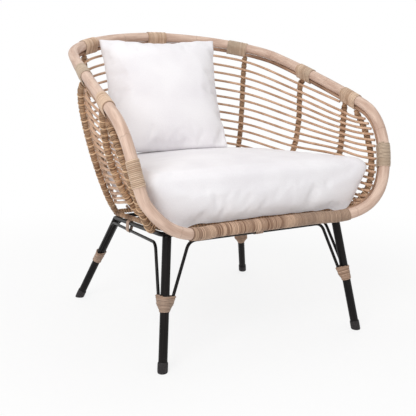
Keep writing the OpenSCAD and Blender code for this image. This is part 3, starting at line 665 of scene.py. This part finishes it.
tan_cane = cane_finish("natural_rattan_cane", "#e0bb9d", "#ba9375", "#7d5c46", ROD_JOINTS, 0.42)
for j in range(1, RODS + 1):
    right = [rod_tip(j)] + [rod_knot(k, j)[0] for k in range(fore_rib(j), 0, -1)]
    left = [flipped(p) for p in right[::-1]]
    run = Run(through(right + [rod_knot(0, j)[0]] + left, 14), (0, 0, 1))
    d = np.linspace(0, run.length, int(run.length / 6))
    r = cane_radius(d + 53 * j, ROD_R, ROD_JOINTS, 0.08)
    rod = make(f"rod_{j}_cane", [round_part(run, d, r, 12, shift=1313 * j)], tan_cane)
    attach(rod, "chair")
    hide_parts(f"rod_{j}")

# ---- Rib lashings ----
# Brown peel 4.3 mm wide is wound up each rib in close turns that bulge between the rods, and a pale
# strand ties every rod on: it crosses the rib's outer side at a slant and goes over the rod inside.

STRAND_W, STRAND_T, STRAND_LENGTH, STRAND_SLANT = 3.0, 1.8, 80, 0.75
BULGE = 1.6
HEAD = 3  # steps of a rib's line that its bent head takes the place of


def rib_head(k):
    """The end of a rib, laid against the carrier cane and bent into the rib's own line."""
    share, line = RIBS[k][1], rib_runs[k].p
    way, inward = unit(line[1] - line[0]), hoop_in(share)
    along = way - inward * (way @ inward)
    rise, past = CARRIER_R + 3, 13
    tip = carrier_at(share) + inward * rise * np.linalg.norm(along) - along * past
    return pulled(tip, (line[0] - tip) * 0.5, line[HEAD], (line[HEAD - 1] - line[HEAD]) * 1.2, 8)


def lashing(k, run, first_turn):
    """The close turns round a rib, which heap up halfway between two rods."""
    start, stop = run.d[0] + 5, run.d[-1] - 5
    share = np.linspace(start, stop, 90) / rib_runs[k].length
    rod = (share - SECOND_ROD[k]) / (LAST_ROD[k] - SECOND_ROD[k]) * (RODS - 2)
    heap = RIB_R - FIT + BULGE * np.sin(math.pi * rod) ** 2
    return wind(run, [[(0, 0, r)] for r in heap], start, stop,
                pitch=4.4, width=4.3, thick=1.7, first_turn=first_turn, waver=0.6, count=24)


def tied_strand(p, inner, way, slant, first_turn):
    """One turn of a strand round a rib and the rod on its inner side, at a slant to the rib."""
    side = np.cross(way, inner)
    tilt = unit(way + side * slant)
    a, b = inner, np.cross(tilt, inner)
    stretch = math.hypot(1, slant)
    shape, out = hull_outline([(0, 0, RIB_R + 1.7), (ROD_OFF, 0, ROD_R + 0.1)], 40)
    shape, out = shape * [1, stretch], unit(out * [stretch, 1])
    middle = p + a * shape[:, :1] + b * shape[:, 1:]
    normal = a * out[:, :1] + b * out[:, 1:]
    wide = np.array([-0.5, 0.5, 0.42, 0, -0.42]) * STRAND_W
    high = np.array([0, 0, 0.7, 1, 0.7]) * STRAND_T
    rings = middle[:, None] + tilt * wide[:, None] + normal[:, None] * high[:, None]
    length = np.linspace(0, STRAND_LENGTH, len(middle))[:, None]
    return rings, np.stack(np.broadcast_arrays(first_turn + length * 0, wide * 0.6, length), -1), True


pale_strand = peel_finish("pale_peel_strand", "#e6c6a3", "#c49d77", "#c2a688", "#7f634b", 0.4)
for k, (name, *_) in enumerate(RIBS):
    for side, node in handed(name + "_rib", k == 0):
        mirror = np.array([side, 1.0, 1])
        head = rib_head(k)
        start = rib_runs[k].d[HEAD] - np.linalg.norm(np.diff(head, axis=0), axis=1).sum()
        run = Run(np.vstack([head[:-1], rib_runs[k].p[HEAD:]]) * mirror, (0.3 * side, 1, 0), start)
        d = np.linspace(start, run.d[-1], int(run.length / 6))
        rib_part = round_part(run, d, RIB_R, 12, shift=711 * k + 90 * side)
        rib = make(node + "_cane", [rib_part], brown_cane)
        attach(rib, "chair")
        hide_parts(node)
        wound = make(node + "_lashing", [lashing(k, run, 500 + 97 * k + 41 * side)], rough_peel)
        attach(wound, "chair")
        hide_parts("rib_peel")
        ties = []
        for j in range(1 if k <= fore_rib(1) else 2, RODS + 1):
            p, _, _, way = run.at(rod_share(k, j) * rib_runs[k].length)
            inner = rod_knot(k, j)[1] * mirror
            ties.append(tied_strand(p, inner, way, STRAND_SLANT * side, 31 * j + 700 * k + side))
        strands = make(node + "_rod_ties", ties, pale_strand)
        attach(strands, "chair")

# ---- Legs ----
# Four 22 mm steel tubes splay from under the frame's corners. They are welded to it, powder coated
# with it, and stand in plastic caps.

LEG_R = 11.0
CAP_SOLE = 5.0


def leg_foot(front):
    return np.array([294.0, -323, 0]) if front else np.array([299.0, 292, 0])


def under_corner(front):
    """The middle of the frame's bend, where a leg's axis meets it."""
    along = SIDE_WAY if front else -SIDE_WAY
    return frame_corner(front) + (along - SIDEWAYS) * BEND / 4


def leg_way(front):
    return unit(under_corner(front) - leg_foot(front))


def leg_at(front, z):
    return leg_foot(front) + leg_way(front) * (z / leg_way(front)[2])


def leg_top(front):
    """Where a leg ends, run a little way into the frame's tube like a coped and welded joint."""
    w = leg_way(front)
    rise, into = LEG_R * math.sqrt(1 - w[2] ** 2) * w[2], 4.5
    return under_corner(front) - w * (FRAME_R + FIT + rise * 0.4) + w * into


feet = []
for front, place in ((True, "front_leg"), (False, "rear_leg")):
    for side, node in handed(place):
        mirror = np.array([side, 1.0, 1])
        low, high = leg_at(front, CAP_SOLE + 3) * mirror, leg_top(front) * mirror
        run = Run(np.linspace(low, high, 60), SIDEWAYS)
        end = run.length
        d = np.concatenate([[0, 0], np.linspace(0.5, end - 1.2, 60), [end - 0.4, end, end]])
        r = np.full(d.shape, LEG_R)
        r[0], r[-3:] = 6.0, (LEG_R - 0.5, LEG_R - 1.4, 6.0)
        leg = make(node + "_tube", [round_part(run, d, r, 36)], satin_black)
        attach(leg, "chair")
        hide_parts(node)
        feet.append((front, mirror))

# ---- Foot caps ----
# Moulded black plastic cups pushed over the feet. Their soles are cut to lie flat on the floor, their
# rims are rounded, and a fine moulded grain keeps them duller than the steel.

# Moulded plastic: black with a fine grain 0.7 mm across, and greyer scuffs about 5 mm across
m = finish("moulded_black_plastic")
grains, scuffs = stretched(m, 1.4, 1.4, 1.4), stretched(m, 0.2, 0.2, 0.2)
grain_skin = add(m, "TexNoise", {}, {"Vector": grains, "Scale": 1.0, "Detail": 2.0})[0]
scuff = add(m, "TexNoise", {}, {"Vector": scuffs, "Scale": 1.0, "Detail": 3.0})[0]
scuffed = add(m, "MapRange", {}, {0: scuff, 1: 0.5, 2: 0.75, 3: 0.0, 4: 1.0})[0]
base = add(m, "Mix", RGBA, {0: scuffed, 6: ink("#1d191a"), 7: ink("#3a3435")})[2]
gloss = add(m, "MapRange", {}, {0: scuff, 1: 0.3, 2: 0.7, 3: 0.48, 4: 0.64})[0]
bump = add(m, "Bump", {}, {"Strength": 0.3, "Distance": 0.0002, "Height": grain_skin})[0]
add(m, "surface", {}, {"Base Color": base, "Roughness": gloss, "Normal": bump,
                       "Specular IOR Level": 0.35})
moulded_plastic = m

# Height up the cap, and radius past the bore's: up the outside, over the rim and down the bore
BORE = clear(LEG_R, 24)
CUP = [(0, -0.3), (0.5, 0.6), (1.6, 1.1), (4, 1.3), (8, 1.35), (16, 1.35), (21.5, 1.3), (23.2, 1.0),
       (24, 0.45), (24, 0), (8, 0)]
CUP = [(0, 6.0)] + [(z, BORE + r) for z, r in CUP] + [(8, 5.0)]
turn = np.linspace(0, 2 * math.pi, 40, endpoint=False)
cups = []
for front, mirror in feet:
    w = leg_way(front)
    a = across(SIDEWAYS, w)
    b = np.cross(w, a)
    rings, grain = [], []
    for z, r in CUP:
        x, y = r * np.cos(turn), r * np.sin(turn)
        p = leg_at(front, z) + a * x[:, None] + b * y[:, None]
        level = max(0.0, 1 - z / CAP_SOLE)
        rings.append(p + w * (((z - p[:, 2]) / w[2]) * level)[:, None])
        grain.append(np.stack([np.full(len(turn), z), x, y], -1))
    rings = np.array(rings) * mirror
    cups.append((rings if mirror[0] > 0 else rings[:, ::-1], np.array(grain), False))
caps = make("foot_cap_cups", cups, moulded_plastic)
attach(caps, "chair")
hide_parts("foot_caps")

# ---- Braces ----
# Four 8 mm steel rods run under the frame and bend down to be tied to two legs each. They carry the
# sideways push on the legs, and have a glossier coat than the tubes.

BRACE_R, BRACE_BEND = 4.0, 20.0
FRONT_REACH, FRONT_DROP = 64, 20
SIDE_KNEE_OUT, SIDE_DROP = 2.5, 25
REAR_DROP = 12
TIE_HOLD = BRACE_R + LEG_R + 0.6
TIE_GRIP = 0.55
# By whether it is a front leg: the tie's top, its length and the way from the leg to each brace
TIE_Z, TIE_LEN = {True: 179.0, False: 160.0}, {True: 42.0, False: 36.0}
CROSS_SIDE = {True: -SIDEWAYS, False: np.array([-1, 0.5, 0])}
SIDE_SIDE = {True: SIDE_WAY + OUTWARD, False: np.array([1.0, -1, 0])}


def beside(front, z, toward, off):
    return leg_at(front, z) + across(toward, leg_way(front)) * off


def brace_foot(front, toward):
    return beside(front, TIE_Z[front] - TIE_LEN[front] * TIE_GRIP, toward, TIE_HOLD)


def rear_knee(toward):
    height = frame_corner(False)[2] - REAR_DROP / FRAME_UP[2]
    return beside(False, height, toward, TIE_HOLD + 1)


def cross_half(front):
    """Half of the front or the rear brace: its foot on the right leg and its knee."""
    knee = rear_knee(CROSS_SIDE[False])
    if front:
        knee = frame_corner(True) - SIDEWAYS * FRONT_REACH - FRAME_UP * FRONT_DROP
    return [brace_foot(front, CROSS_SIDE[front]), knee]


def side_half(front):
    """The front or the rear half of the right side's brace: its foot and its knee."""
    knee = rear_knee(SIDE_SIDE[False])
    if front:
        knee = (frame_corner(True) + SIDE_WAY * FRONT_REACH + OUTWARD * SIDE_KNEE_OUT
                - FRAME_UP * SIDE_DROP)
    return [brace_foot(front, SIDE_SIDE[front]), knee]


def bent_rod(points):
    """Straight rod with a round bend at each inner point, evenly stepped."""
    line = [points[:1]]
    for i in range(1, len(points) - 1):
        line.append(rounded(points[i - 1], points[i], points[i + 1], BRACE_BEND, 12))
    line = np.concatenate(line + [points[-1:]])
    gaps = np.linalg.norm(np.diff(line, axis=0), axis=1)
    s = np.concatenate([[0], np.cumsum(gaps)])
    extra = np.unique(np.concatenate([s, np.arange(0, s[-1], 12.0)]))
    return np.stack([np.interp(extra, s, line[:, k]) for k in range(3)], -1)


gloss_black = steel_finish("gloss_black_powder_coat", 0.27)
rods_under = {
    "front_brace": cross_half(True) + [flipped(p) for p in cross_half(True)[::-1]],
    "rear_brace": cross_half(False) + [flipped(p) for p in cross_half(False)[::-1]],
    "right_brace": side_half(True) + side_half(False)[::-1],
    "left_brace": [flipped(p) for p in side_half(True) + side_half(False)[::-1]],
}
for name, points in rods_under.items():
    side = (0, 1, 0) if name in ("front_brace", "rear_brace") else SIDEWAYS
    run = Run(bent_rod(np.array(points)), side)
    brace = make(name + "_rod", [round_part(run, run.d, BRACE_R, 18)], gloss_black)
    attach(brace, "chair")
    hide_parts(name)

# ---- Leg ties ----
# Peel wound tight round each leg and the two brace rods' ends beside it. The winding is widest where
# it takes in the rods and closes to the bare leg below them, and a second layer locks its top.

tie_peel = peel_finish("tie_rattan_peel", "#cba991", "#927159", "#a59182", "#4e3a2b", 0.48)
for front, node in ((True, "front_leg_ties"), (False, "rear_leg_ties")):
    wound = []
    for side in (1, -1):
        mirror = np.array([side, 1.0, 1])
        z0, z1 = TIE_Z[front] - TIE_LEN[front], TIE_Z[front]
        low, high = leg_at(front, z0) * mirror, leg_at(front, z1) * mirror
        run = Run(np.linspace(low, high, 30), SIDEWAYS)
        grip_z = z1 - TIE_GRIP * TIE_LEN[front]
        levels = []
        for z in np.linspace(z0, z1, 12):
            p, a, b, _ = run.at((z - z0) / (z1 - z0) * run.length)
            circles = [(0, 0, LEG_R + 0.5)]
            close = min(1.0, max(0.0, (z - z0) / (grip_z - z0)) ** 0.8)
            r = (BRACE_R + 0.5) * close + (LEG_R * 0.6) * (1 - close)
            for half in (cross_half(front), side_half(front)):
                foot, knee = half[0] * mirror, half[1] * mirror
                up = max(0.0, (z - foot[2]) / (knee[2] - foot[2]))
                q = foot + (knee - foot) * up
                circles.append(((q - p) @ a * close, (q - p) @ b * close, r))
            levels.append(circles)
        wound.append(wind(run, levels, 0.5, run.length, pitch=3.4, width=3.3, thick=1.9,
                          first_turn=900 + 40 * side + 15 * front, waver=0.3, count=56))
        wound.append(wind(run, levels[-4:], run.length - 11, run.length - 1, pitch=4.2, width=3.0,
                          thick=2.9, first_turn=960 + side, waver=0.2, count=56))
    ties = make(node + "_wound_peel", wound, tie_peel)
    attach(ties, "chair")
    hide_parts(node)

# ---- Brace straps ----
# Short sleeves of wound peel hold the braces up against the frame: one on each side, and one in the
# middle of the front and of the rear.

STRAP_W, STRAP_AT = 30.0, 0.62
right_side = [frame_corner(True), frame_corner(False)]
knees = [side_half(True)[1], side_half(False)[1]]
share = STRAP_W / 2 / np.linalg.norm(right_side[1] - right_side[0])


def on_brace(y):
    return knees[0] + (knees[1] - knees[0]) * (y - knees[0][1]) / (knees[1][1] - knees[0][1])


sleeves = []
for side in (1, -1):
    mirror = np.array([side, 1.0, 1])
    spread = (STRAP_AT - share, STRAP_AT + share)
    ends = [right_side[0] + (right_side[1] - right_side[0]) * f for f in spread]
    sleeves.append(([e * mirror for e in ends], [on_brace(e[1]) * mirror for e in ends]))
for front in (True, False):
    knee = cross_half(front)[1]
    ends = [frame_point(x, FRONT_Y if front else REAR_Y) for x in (-STRAP_W / 2, STRAP_W / 2)]
    sleeves.append((ends, [np.array([e[0], knee[1], knee[2]]) for e in ends]))
wound = []
for i, (on_frame, on_rod) in enumerate(sleeves):
    run = Run(np.linspace(*on_frame, 12), on_rod[0] - on_frame[0])
    levels = []
    for e, q in zip(on_frame, on_rod):
        p, a, b, _ = run.at(0.0 if e is on_frame[0] else run.length)
        levels.append([(0, 0, FRAME_R + FIT), ((q - p) @ a, (q - p) @ b, BRACE_R + FIT)])
    wound.append(wind(run, levels, 0, run.length, pitch=4.6, width=4.4, thick=1.5,
                      first_turn=1000 + 30 * i, waver=0.3))
straps = make("brace_strap_sleeves", wound, tie_peel)
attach(straps, "chair")
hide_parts("brace_straps")

# ---- Seat cushion ----
# A loose foam block in a bleached cotton cover, crowned on top and cut to fill the tub. The cover is
# a little full, so it puffs and creases softly, and its front edge sags over the seat canes' ends.


def cotton_finish(name, light, shade):
    """Bleached cotton canvas: a plain weave with threads 0.7 mm apart, drawn 1.6 mm apart so that it
    shows, with slubs, a cloudy tone, and a soft sheen from loose fibres."""
    m = finish(name)
    drawn_pitch = 1.6 * MM
    place = add(m, "TexCoord", {}, {})["Object"]
    waves_per_m = 2 * math.pi / drawn_pitch
    threads = add(m, "VectorMath", {"operation": "SCALE"}, {0: place, "Scale": waves_per_m})[0]
    waves = add(m, "VectorMath", {"operation": "SINE"}, {0: threads})[0]
    depth = (0.17, 0.17, 0.17)
    weave = add(m, "VectorMath", {"operation": "DOT_PRODUCT"}, {0: waves, 1: depth})["Value"]
    slub = add(m, "TexNoise", {}, {"Vector": place, "Scale": 420.0, "Detail": 3.0})[0]
    cloud = add(m, "TexNoise", {}, {"Vector": place, "Scale": 9.0, "Detail": 2.0})[0]
    mottle = add(m, "Math", {"operation": "MULTIPLY_ADD"}, {0: slub, 1: 0.5, 2: cloud})[0]
    tone = add(m, "MapRange", {}, {0: mottle, 1: 0.55, 2: 0.95, 3: 0.0, 4: 1.0})[0]
    base = add(m, "Mix", RGBA, {0: tone, 6: ink(light), 7: ink(shade)})[2]
    height = add(m, "Math", {"operation": "ADD"}, {0: weave, 1: slub})[0]
    bump = add(m, "Bump", {}, {"Strength": 0.35, "Distance": 0.0004, "Height": height})[0]
    gloss = add(m, "MapRange", {}, {0: slub, 1: 0.3, 2: 0.7, 3: 0.82, 4: 0.95})[0]
    add(m, "surface", {}, {"Base Color": base, "Roughness": gloss, "Normal": bump,
                           "Specular IOR Level": 0.2, "Sheen Weight": 0.12, "Sheen Roughness": 0.5})
    return m


def points_of(mesh, what="co"):
    """The mesh's points, or their normals, as rows."""
    rows = np.empty(len(mesh.vertices) * 3, np.float32)
    mesh.vertices.foreach_get(what, rows)
    return rows.reshape(-1, 3).astype(float)


def set_points(mesh, points):
    mesh.vertices.foreach_set("co", points.astype(np.float32).ravel())
    mesh.update()


def settle(piece):
    """Works the piece's modifiers into its mesh."""
    graph = bpy.context.evaluated_depsgraph_get()
    piece.data = bpy.data.meshes.new_from_object(piece.evaluated_get(graph))
    piece.modifiers.clear()


def puff(piece, pressure, cap, fullness, seam=()):
    """Blows up a cover cut a share too full, like a filled case. Its seam is held, and no point moves
    further than cap metres."""
    frames = 20
    start = points_of(piece.data)
    cloth = piece.modifiers.new("cover", "CLOTH")
    s = cloth.settings
    s.quality, s.mass = 6, 0.25
    s.tension_stiffness = s.compression_stiffness = 14
    s.shear_stiffness, s.bending_stiffness = 8, 0.35
    s.use_pressure, s.uniform_pressure_force, s.shrink_min = True, pressure, -fullness
    s.effector_weights.gravity = 0
    held = piece.vertex_groups.new(name="seam")
    held.add([int(i) for i in seam], 1.0, "REPLACE")
    s.vertex_group_mass = "seam"
    cloth.point_cache.frame_start, cloth.point_cache.frame_end = 1, frames
    for i in range(1, frames + 1):
        bpy.context.scene.frame_set(i)
    settle(piece)
    bpy.context.scene.frame_set(1)
    moved = points_of(piece.data) - start
    far = np.linalg.norm(moved, axis=1, keepdims=True)
    set_points(piece.data, start + moved * np.minimum(1, cap / np.maximum(far, 1e-9)))


def tree_of(mesh):
    return BVHTree.FromPolygons([v.co for v in mesh.vertices], [p.vertices for p in mesh.polygons])


def keep_inside(piece, node, spare):
    """Draws points that stick out of a solid by more than spare metres back to that distance."""
    solid = tree_of(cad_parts[node].data)
    points = points_of(piece.data)
    for i, p in enumerate(points):
        near, normal, _, _ = solid.find_nearest(Vector(p))
        out = (Vector(p) - near).dot(normal)
        if out > spare:
            points[i] = near + (Vector(p) - near).normalized() * spare
    set_points(piece.data, points)


def smooth_out(piece, rounds):
    soft = piece.modifiers.new("smooth", "SMOOTH")
    soft.iterations, soft.factor = rounds, 0.5
    settle(piece)


def refine(piece):
    finer = piece.modifiers.new("finer", "SUBSURF")
    finer.levels = finer.render_levels = 1
    settle(piece)


def dress(piece, cloth):
    piece.data.polygons.foreach_set("use_smooth", [True] * len(piece.data.polygons))
    piece.data.materials.append(cloth)


SEAT_INSET, SEAT_MESH = 0.001, 0.0065
SAG, SAG_FROM_Y, SAG_OVER_Y, SAG_FROM_Z, SAG_OVER_Z = 20.0, -277, 22, 412, 54
bleached_cotton = cotton_finish("bleached_cotton_canvas", "#f3f1f3", "#eae7ea")
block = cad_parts["seat_cushion"].data.copy()
block.name = "seat_cushion_cover"
seat = placed("seat_cushion_cover", block)
block.materials.clear()
set_points(block, points_of(block) - points_of(block, "normal") * SEAT_INSET)
voxels = seat.modifiers.new("remesh", "REMESH")
voxels.mode, voxels.voxel_size = "VOXEL", SEAT_MESH
settle(seat)
smooth_out(seat, 3)
puff(seat, pressure=2.5, cap=0.006, fullness=0.02)
keep_inside(seat, "seat_cushion", 0.0015)
smooth_out(seat, 2)
points = points_of(seat.data) / MM
over = np.clip((SAG_FROM_Y - points[:, 1]) / SAG_OVER_Y, 0, 1)
low = np.clip((SAG_FROM_Z - points[:, 2]) / SAG_OVER_Z, 0, 1)
points[:, 2] -= SAG * over * over * (3 - 2 * over) * low
set_points(seat.data, points * MM)
refine(seat)
dress(seat, bleached_cotton)
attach(seat, "seat_cushion")
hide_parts("seat_cushion")

# ---- Pillow ----
# Two square panels of the same cotton sewn together at the edge, stuffed soft: thick in the middle,
# with sides that pull in and corners drawn out to points. Its foot rests along the seat cushion.

PILLOW_W, PILLOW_T, PINCH, FOOT_BULGE = 352.0, 120.0, 11.0, 9
PILLOW_FOOT, PILLOW_TURN, PILLOW_LEAN = (-0.088, 0.066, 0.477), -13, 62
SQUARES = 56
u = np.linspace(-1, 1, SQUARES + 1)
gu, gv = np.meshgrid(u, u, indexing="ij")
x = gu * (PILLOW_W / 2 - PINCH * (1 - gv**2))
y = gv * (PILLOW_W / 2 - np.where(gv > 0, PINCH, -FOOT_BULGE) * (1 - gu**2))
dome = PILLOW_T / 2 * ((1 - gu**2) * (1 - gv**2)) ** 0.42
panel = np.arange(gu.size).reshape(gu.shape)
inside = (np.abs(gu) < 1) & (np.abs(gv) < 1)
under = panel.copy()
under[inside] = gu.size + np.arange(inside.sum())
points = np.concatenate([np.stack([x, y, dome], -1).reshape(-1, 3),
                         np.stack([x, y, -dome], -1)[inside]])
quad = lambda g: np.stack([g[:-1, :-1], g[1:, :-1], g[1:, 1:], g[:-1, 1:]], -1).reshape(-1, 4)
faces = np.concatenate([quad(panel), quad(under)[:, ::-1]])
stand = (Matrix.Translation(PILLOW_FOOT) @ Matrix.Rotation(math.radians(PILLOW_TURN), 4, "Z")
         @ Matrix.Rotation(math.radians(PILLOW_LEAN), 4, "X")
         @ Matrix.Translation((0, PILLOW_W / 2 * MM, 0)))
case = bpy.data.meshes.new("pillow_cover")
case.from_pydata([stand @ Vector(p * MM) for p in points], [], faces.tolist())
pillow = placed("pillow_cover", case)
puff(pillow, pressure=3.0, cap=0.016, fullness=0.04, seam=panel[~inside])
smooth_out(pillow, 1)
refine(pillow)
seat_top = tree_of(seat.data)
points = points_of(pillow.data)
for p in points:
    spot = seat_top.ray_cast(Vector((p[0], p[1], 1.0)), Vector((0, 0, -1)))[0]
    p[2] = max(p[2], spot.z + 0.6 * MM) if spot else p[2]
set_points(pillow.data, points)
dress(pillow, bleached_cotton)
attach(pillow, "pillow")
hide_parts("pillow")

# ---- Floor ----
# A plain white studio floor, matt and faintly gritty. It keeps the chair's soft shadow near the feet
# and melts into the white surround further off.

FLOOR_HALF, NEAR_FEET, FAR_OFF = 9, 0.6, 1.7


def looked_at(shaded):
    """1 where the camera sees a surface, straight, in a gloss or through glass, and 0 for light."""
    rays, most = add(shaded, "LightPath", {}, {}), {"operation": "MAXIMUM"}
    seen = add(shaded, "Math", most, {0: rays["Is Camera Ray"], 1: rays["Is Transmission Ray"]})[0]
    return add(shaded, "Math", most, {0: seen, 1: rays["Is Glossy Ray"]})[0]


m = finish("white_studio_floor")
place = add(m, "TexCoord", {}, {})["Object"]
grit = add(m, "TexNoise", {}, {"Vector": place, "Scale": 60.0, "Detail": 2.0})[0]
tone = add(m, "Mix", RGBA, {0: grit, 6: ink("#f2f2f2"), 7: ink("#f6f6f6")})[2]
lit = add(m, "surface", {}, {"Base Color": tone, "Roughness": 0.9, "Specular IOR Level": 0.0})[0]
glow = add(m, "Emission", {}, {"Color": (1, 1, 1, 1), "Strength": 1.0})[0]
away = add(m, "VectorMath", {"operation": "LENGTH"}, {0: place})["Value"]
far = add(m, "MapRange", {"interpolation_type": "SMOOTHSTEP"},
          {0: away, 1: NEAR_FEET, 2: FAR_OFF, 3: 0.8, 4: 1.0})[0]
share_of_glow = add(m, "Math", {"operation": "MULTIPLY"}, {0: looked_at(m), 1: far})[0]
blend = add(m, "MixShader", {}, {0: share_of_glow, 1: lit, 2: glow})[0]
m.node_tree.links.new(blend, m.node_tree.nodes["Material Output"].inputs["Surface"])
ground = bpy.data.meshes.new("studio_floor")
corners = [(x * FLOOR_HALF, y * FLOOR_HALF, 0) for x, y in ((-1, -1), (1, -1), (1, 1), (-1, 1))]
ground.from_pydata(corners, [], [(0, 1, 2, 3)])
ground.materials.append(m)
floor = placed("studio_floor", ground)
floor.location.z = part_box("foot_caps")[0].z - 0.0002
floor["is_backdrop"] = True

# ---- Light ----
# An even white surround, which looks plain white and lights the chair a little less, and two large
# soft lamps: the main one high on the left, in front, and a weaker one above and behind.

SURROUND = 0.64
world = bpy.data.worlds.new("studio_surround")
bpy.context.scene.world = world
world.use_nodes = True
backdrop = world.node_tree.nodes["Background"].inputs
backdrop["Color"].default_value = (1, 1, 1, 1)
strength = add(world, "MapRange", {}, {0: looked_at(world), 3: SURROUND, 4: 1.0})[0]
world.node_tree.links.new(strength, backdrop["Strength"])


def lamp(name, place, target, size, power):
    light = bpy.data.lights.new(name, "AREA")
    light.shape, light.size, light.energy = "DISK", size, power
    thing = placed(name, light)
    thing.location = place
    thing.rotation_euler = (Vector(target) - Vector(place)).to_track_quat("-Z", "Y").to_euler()


lamp("main_lamp", (-1.9, -1.7, 2.1), (0, 0, 0.45), 1.8, 42)
lamp("top_lamp", (0.5, 0.6, 3.0), (0, 0, 0.5), 2.2, 12)

# ---- Camera ----
# In front on the left, 0.72 m up, a little lower than the chair's back. It looks 28 degrees to the
# right of the chair's axis and 12 down, through a 59 mm lens.

EYE = (-0.917, -1.702, 0.719)
YAW, PITCH, ROLL = 0.494870, 0.208440, 0.003307
SENSOR, LENS = 36.0, 59.2546153846
camera = placed("camera", bpy.data.cameras.new("camera"))
camera.data.sensor_width, camera.data.lens = SENSOR, LENS
forward = Vector((math.sin(YAW) * math.cos(PITCH), math.cos(YAW) * math.cos(PITCH), -math.sin(PITCH)))
right = Vector((math.cos(YAW), -math.sin(YAW), 0))
up = right.cross(forward)
right, up = (math.cos(ROLL) * right + math.sin(ROLL) * up,
             math.cos(ROLL) * up - math.sin(ROLL) * right)
camera.matrix_world = Matrix.Translation(EYE) @ Matrix((right, up, -forward)).transposed().to_4x4()
bpy.context.scene.camera = camera
bpy.context.scene.view_settings.view_transform = "Standard"

low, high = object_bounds()
{"cad": [list(cad_low), list(cad_high)], "visual": [list(low), list(high)]}
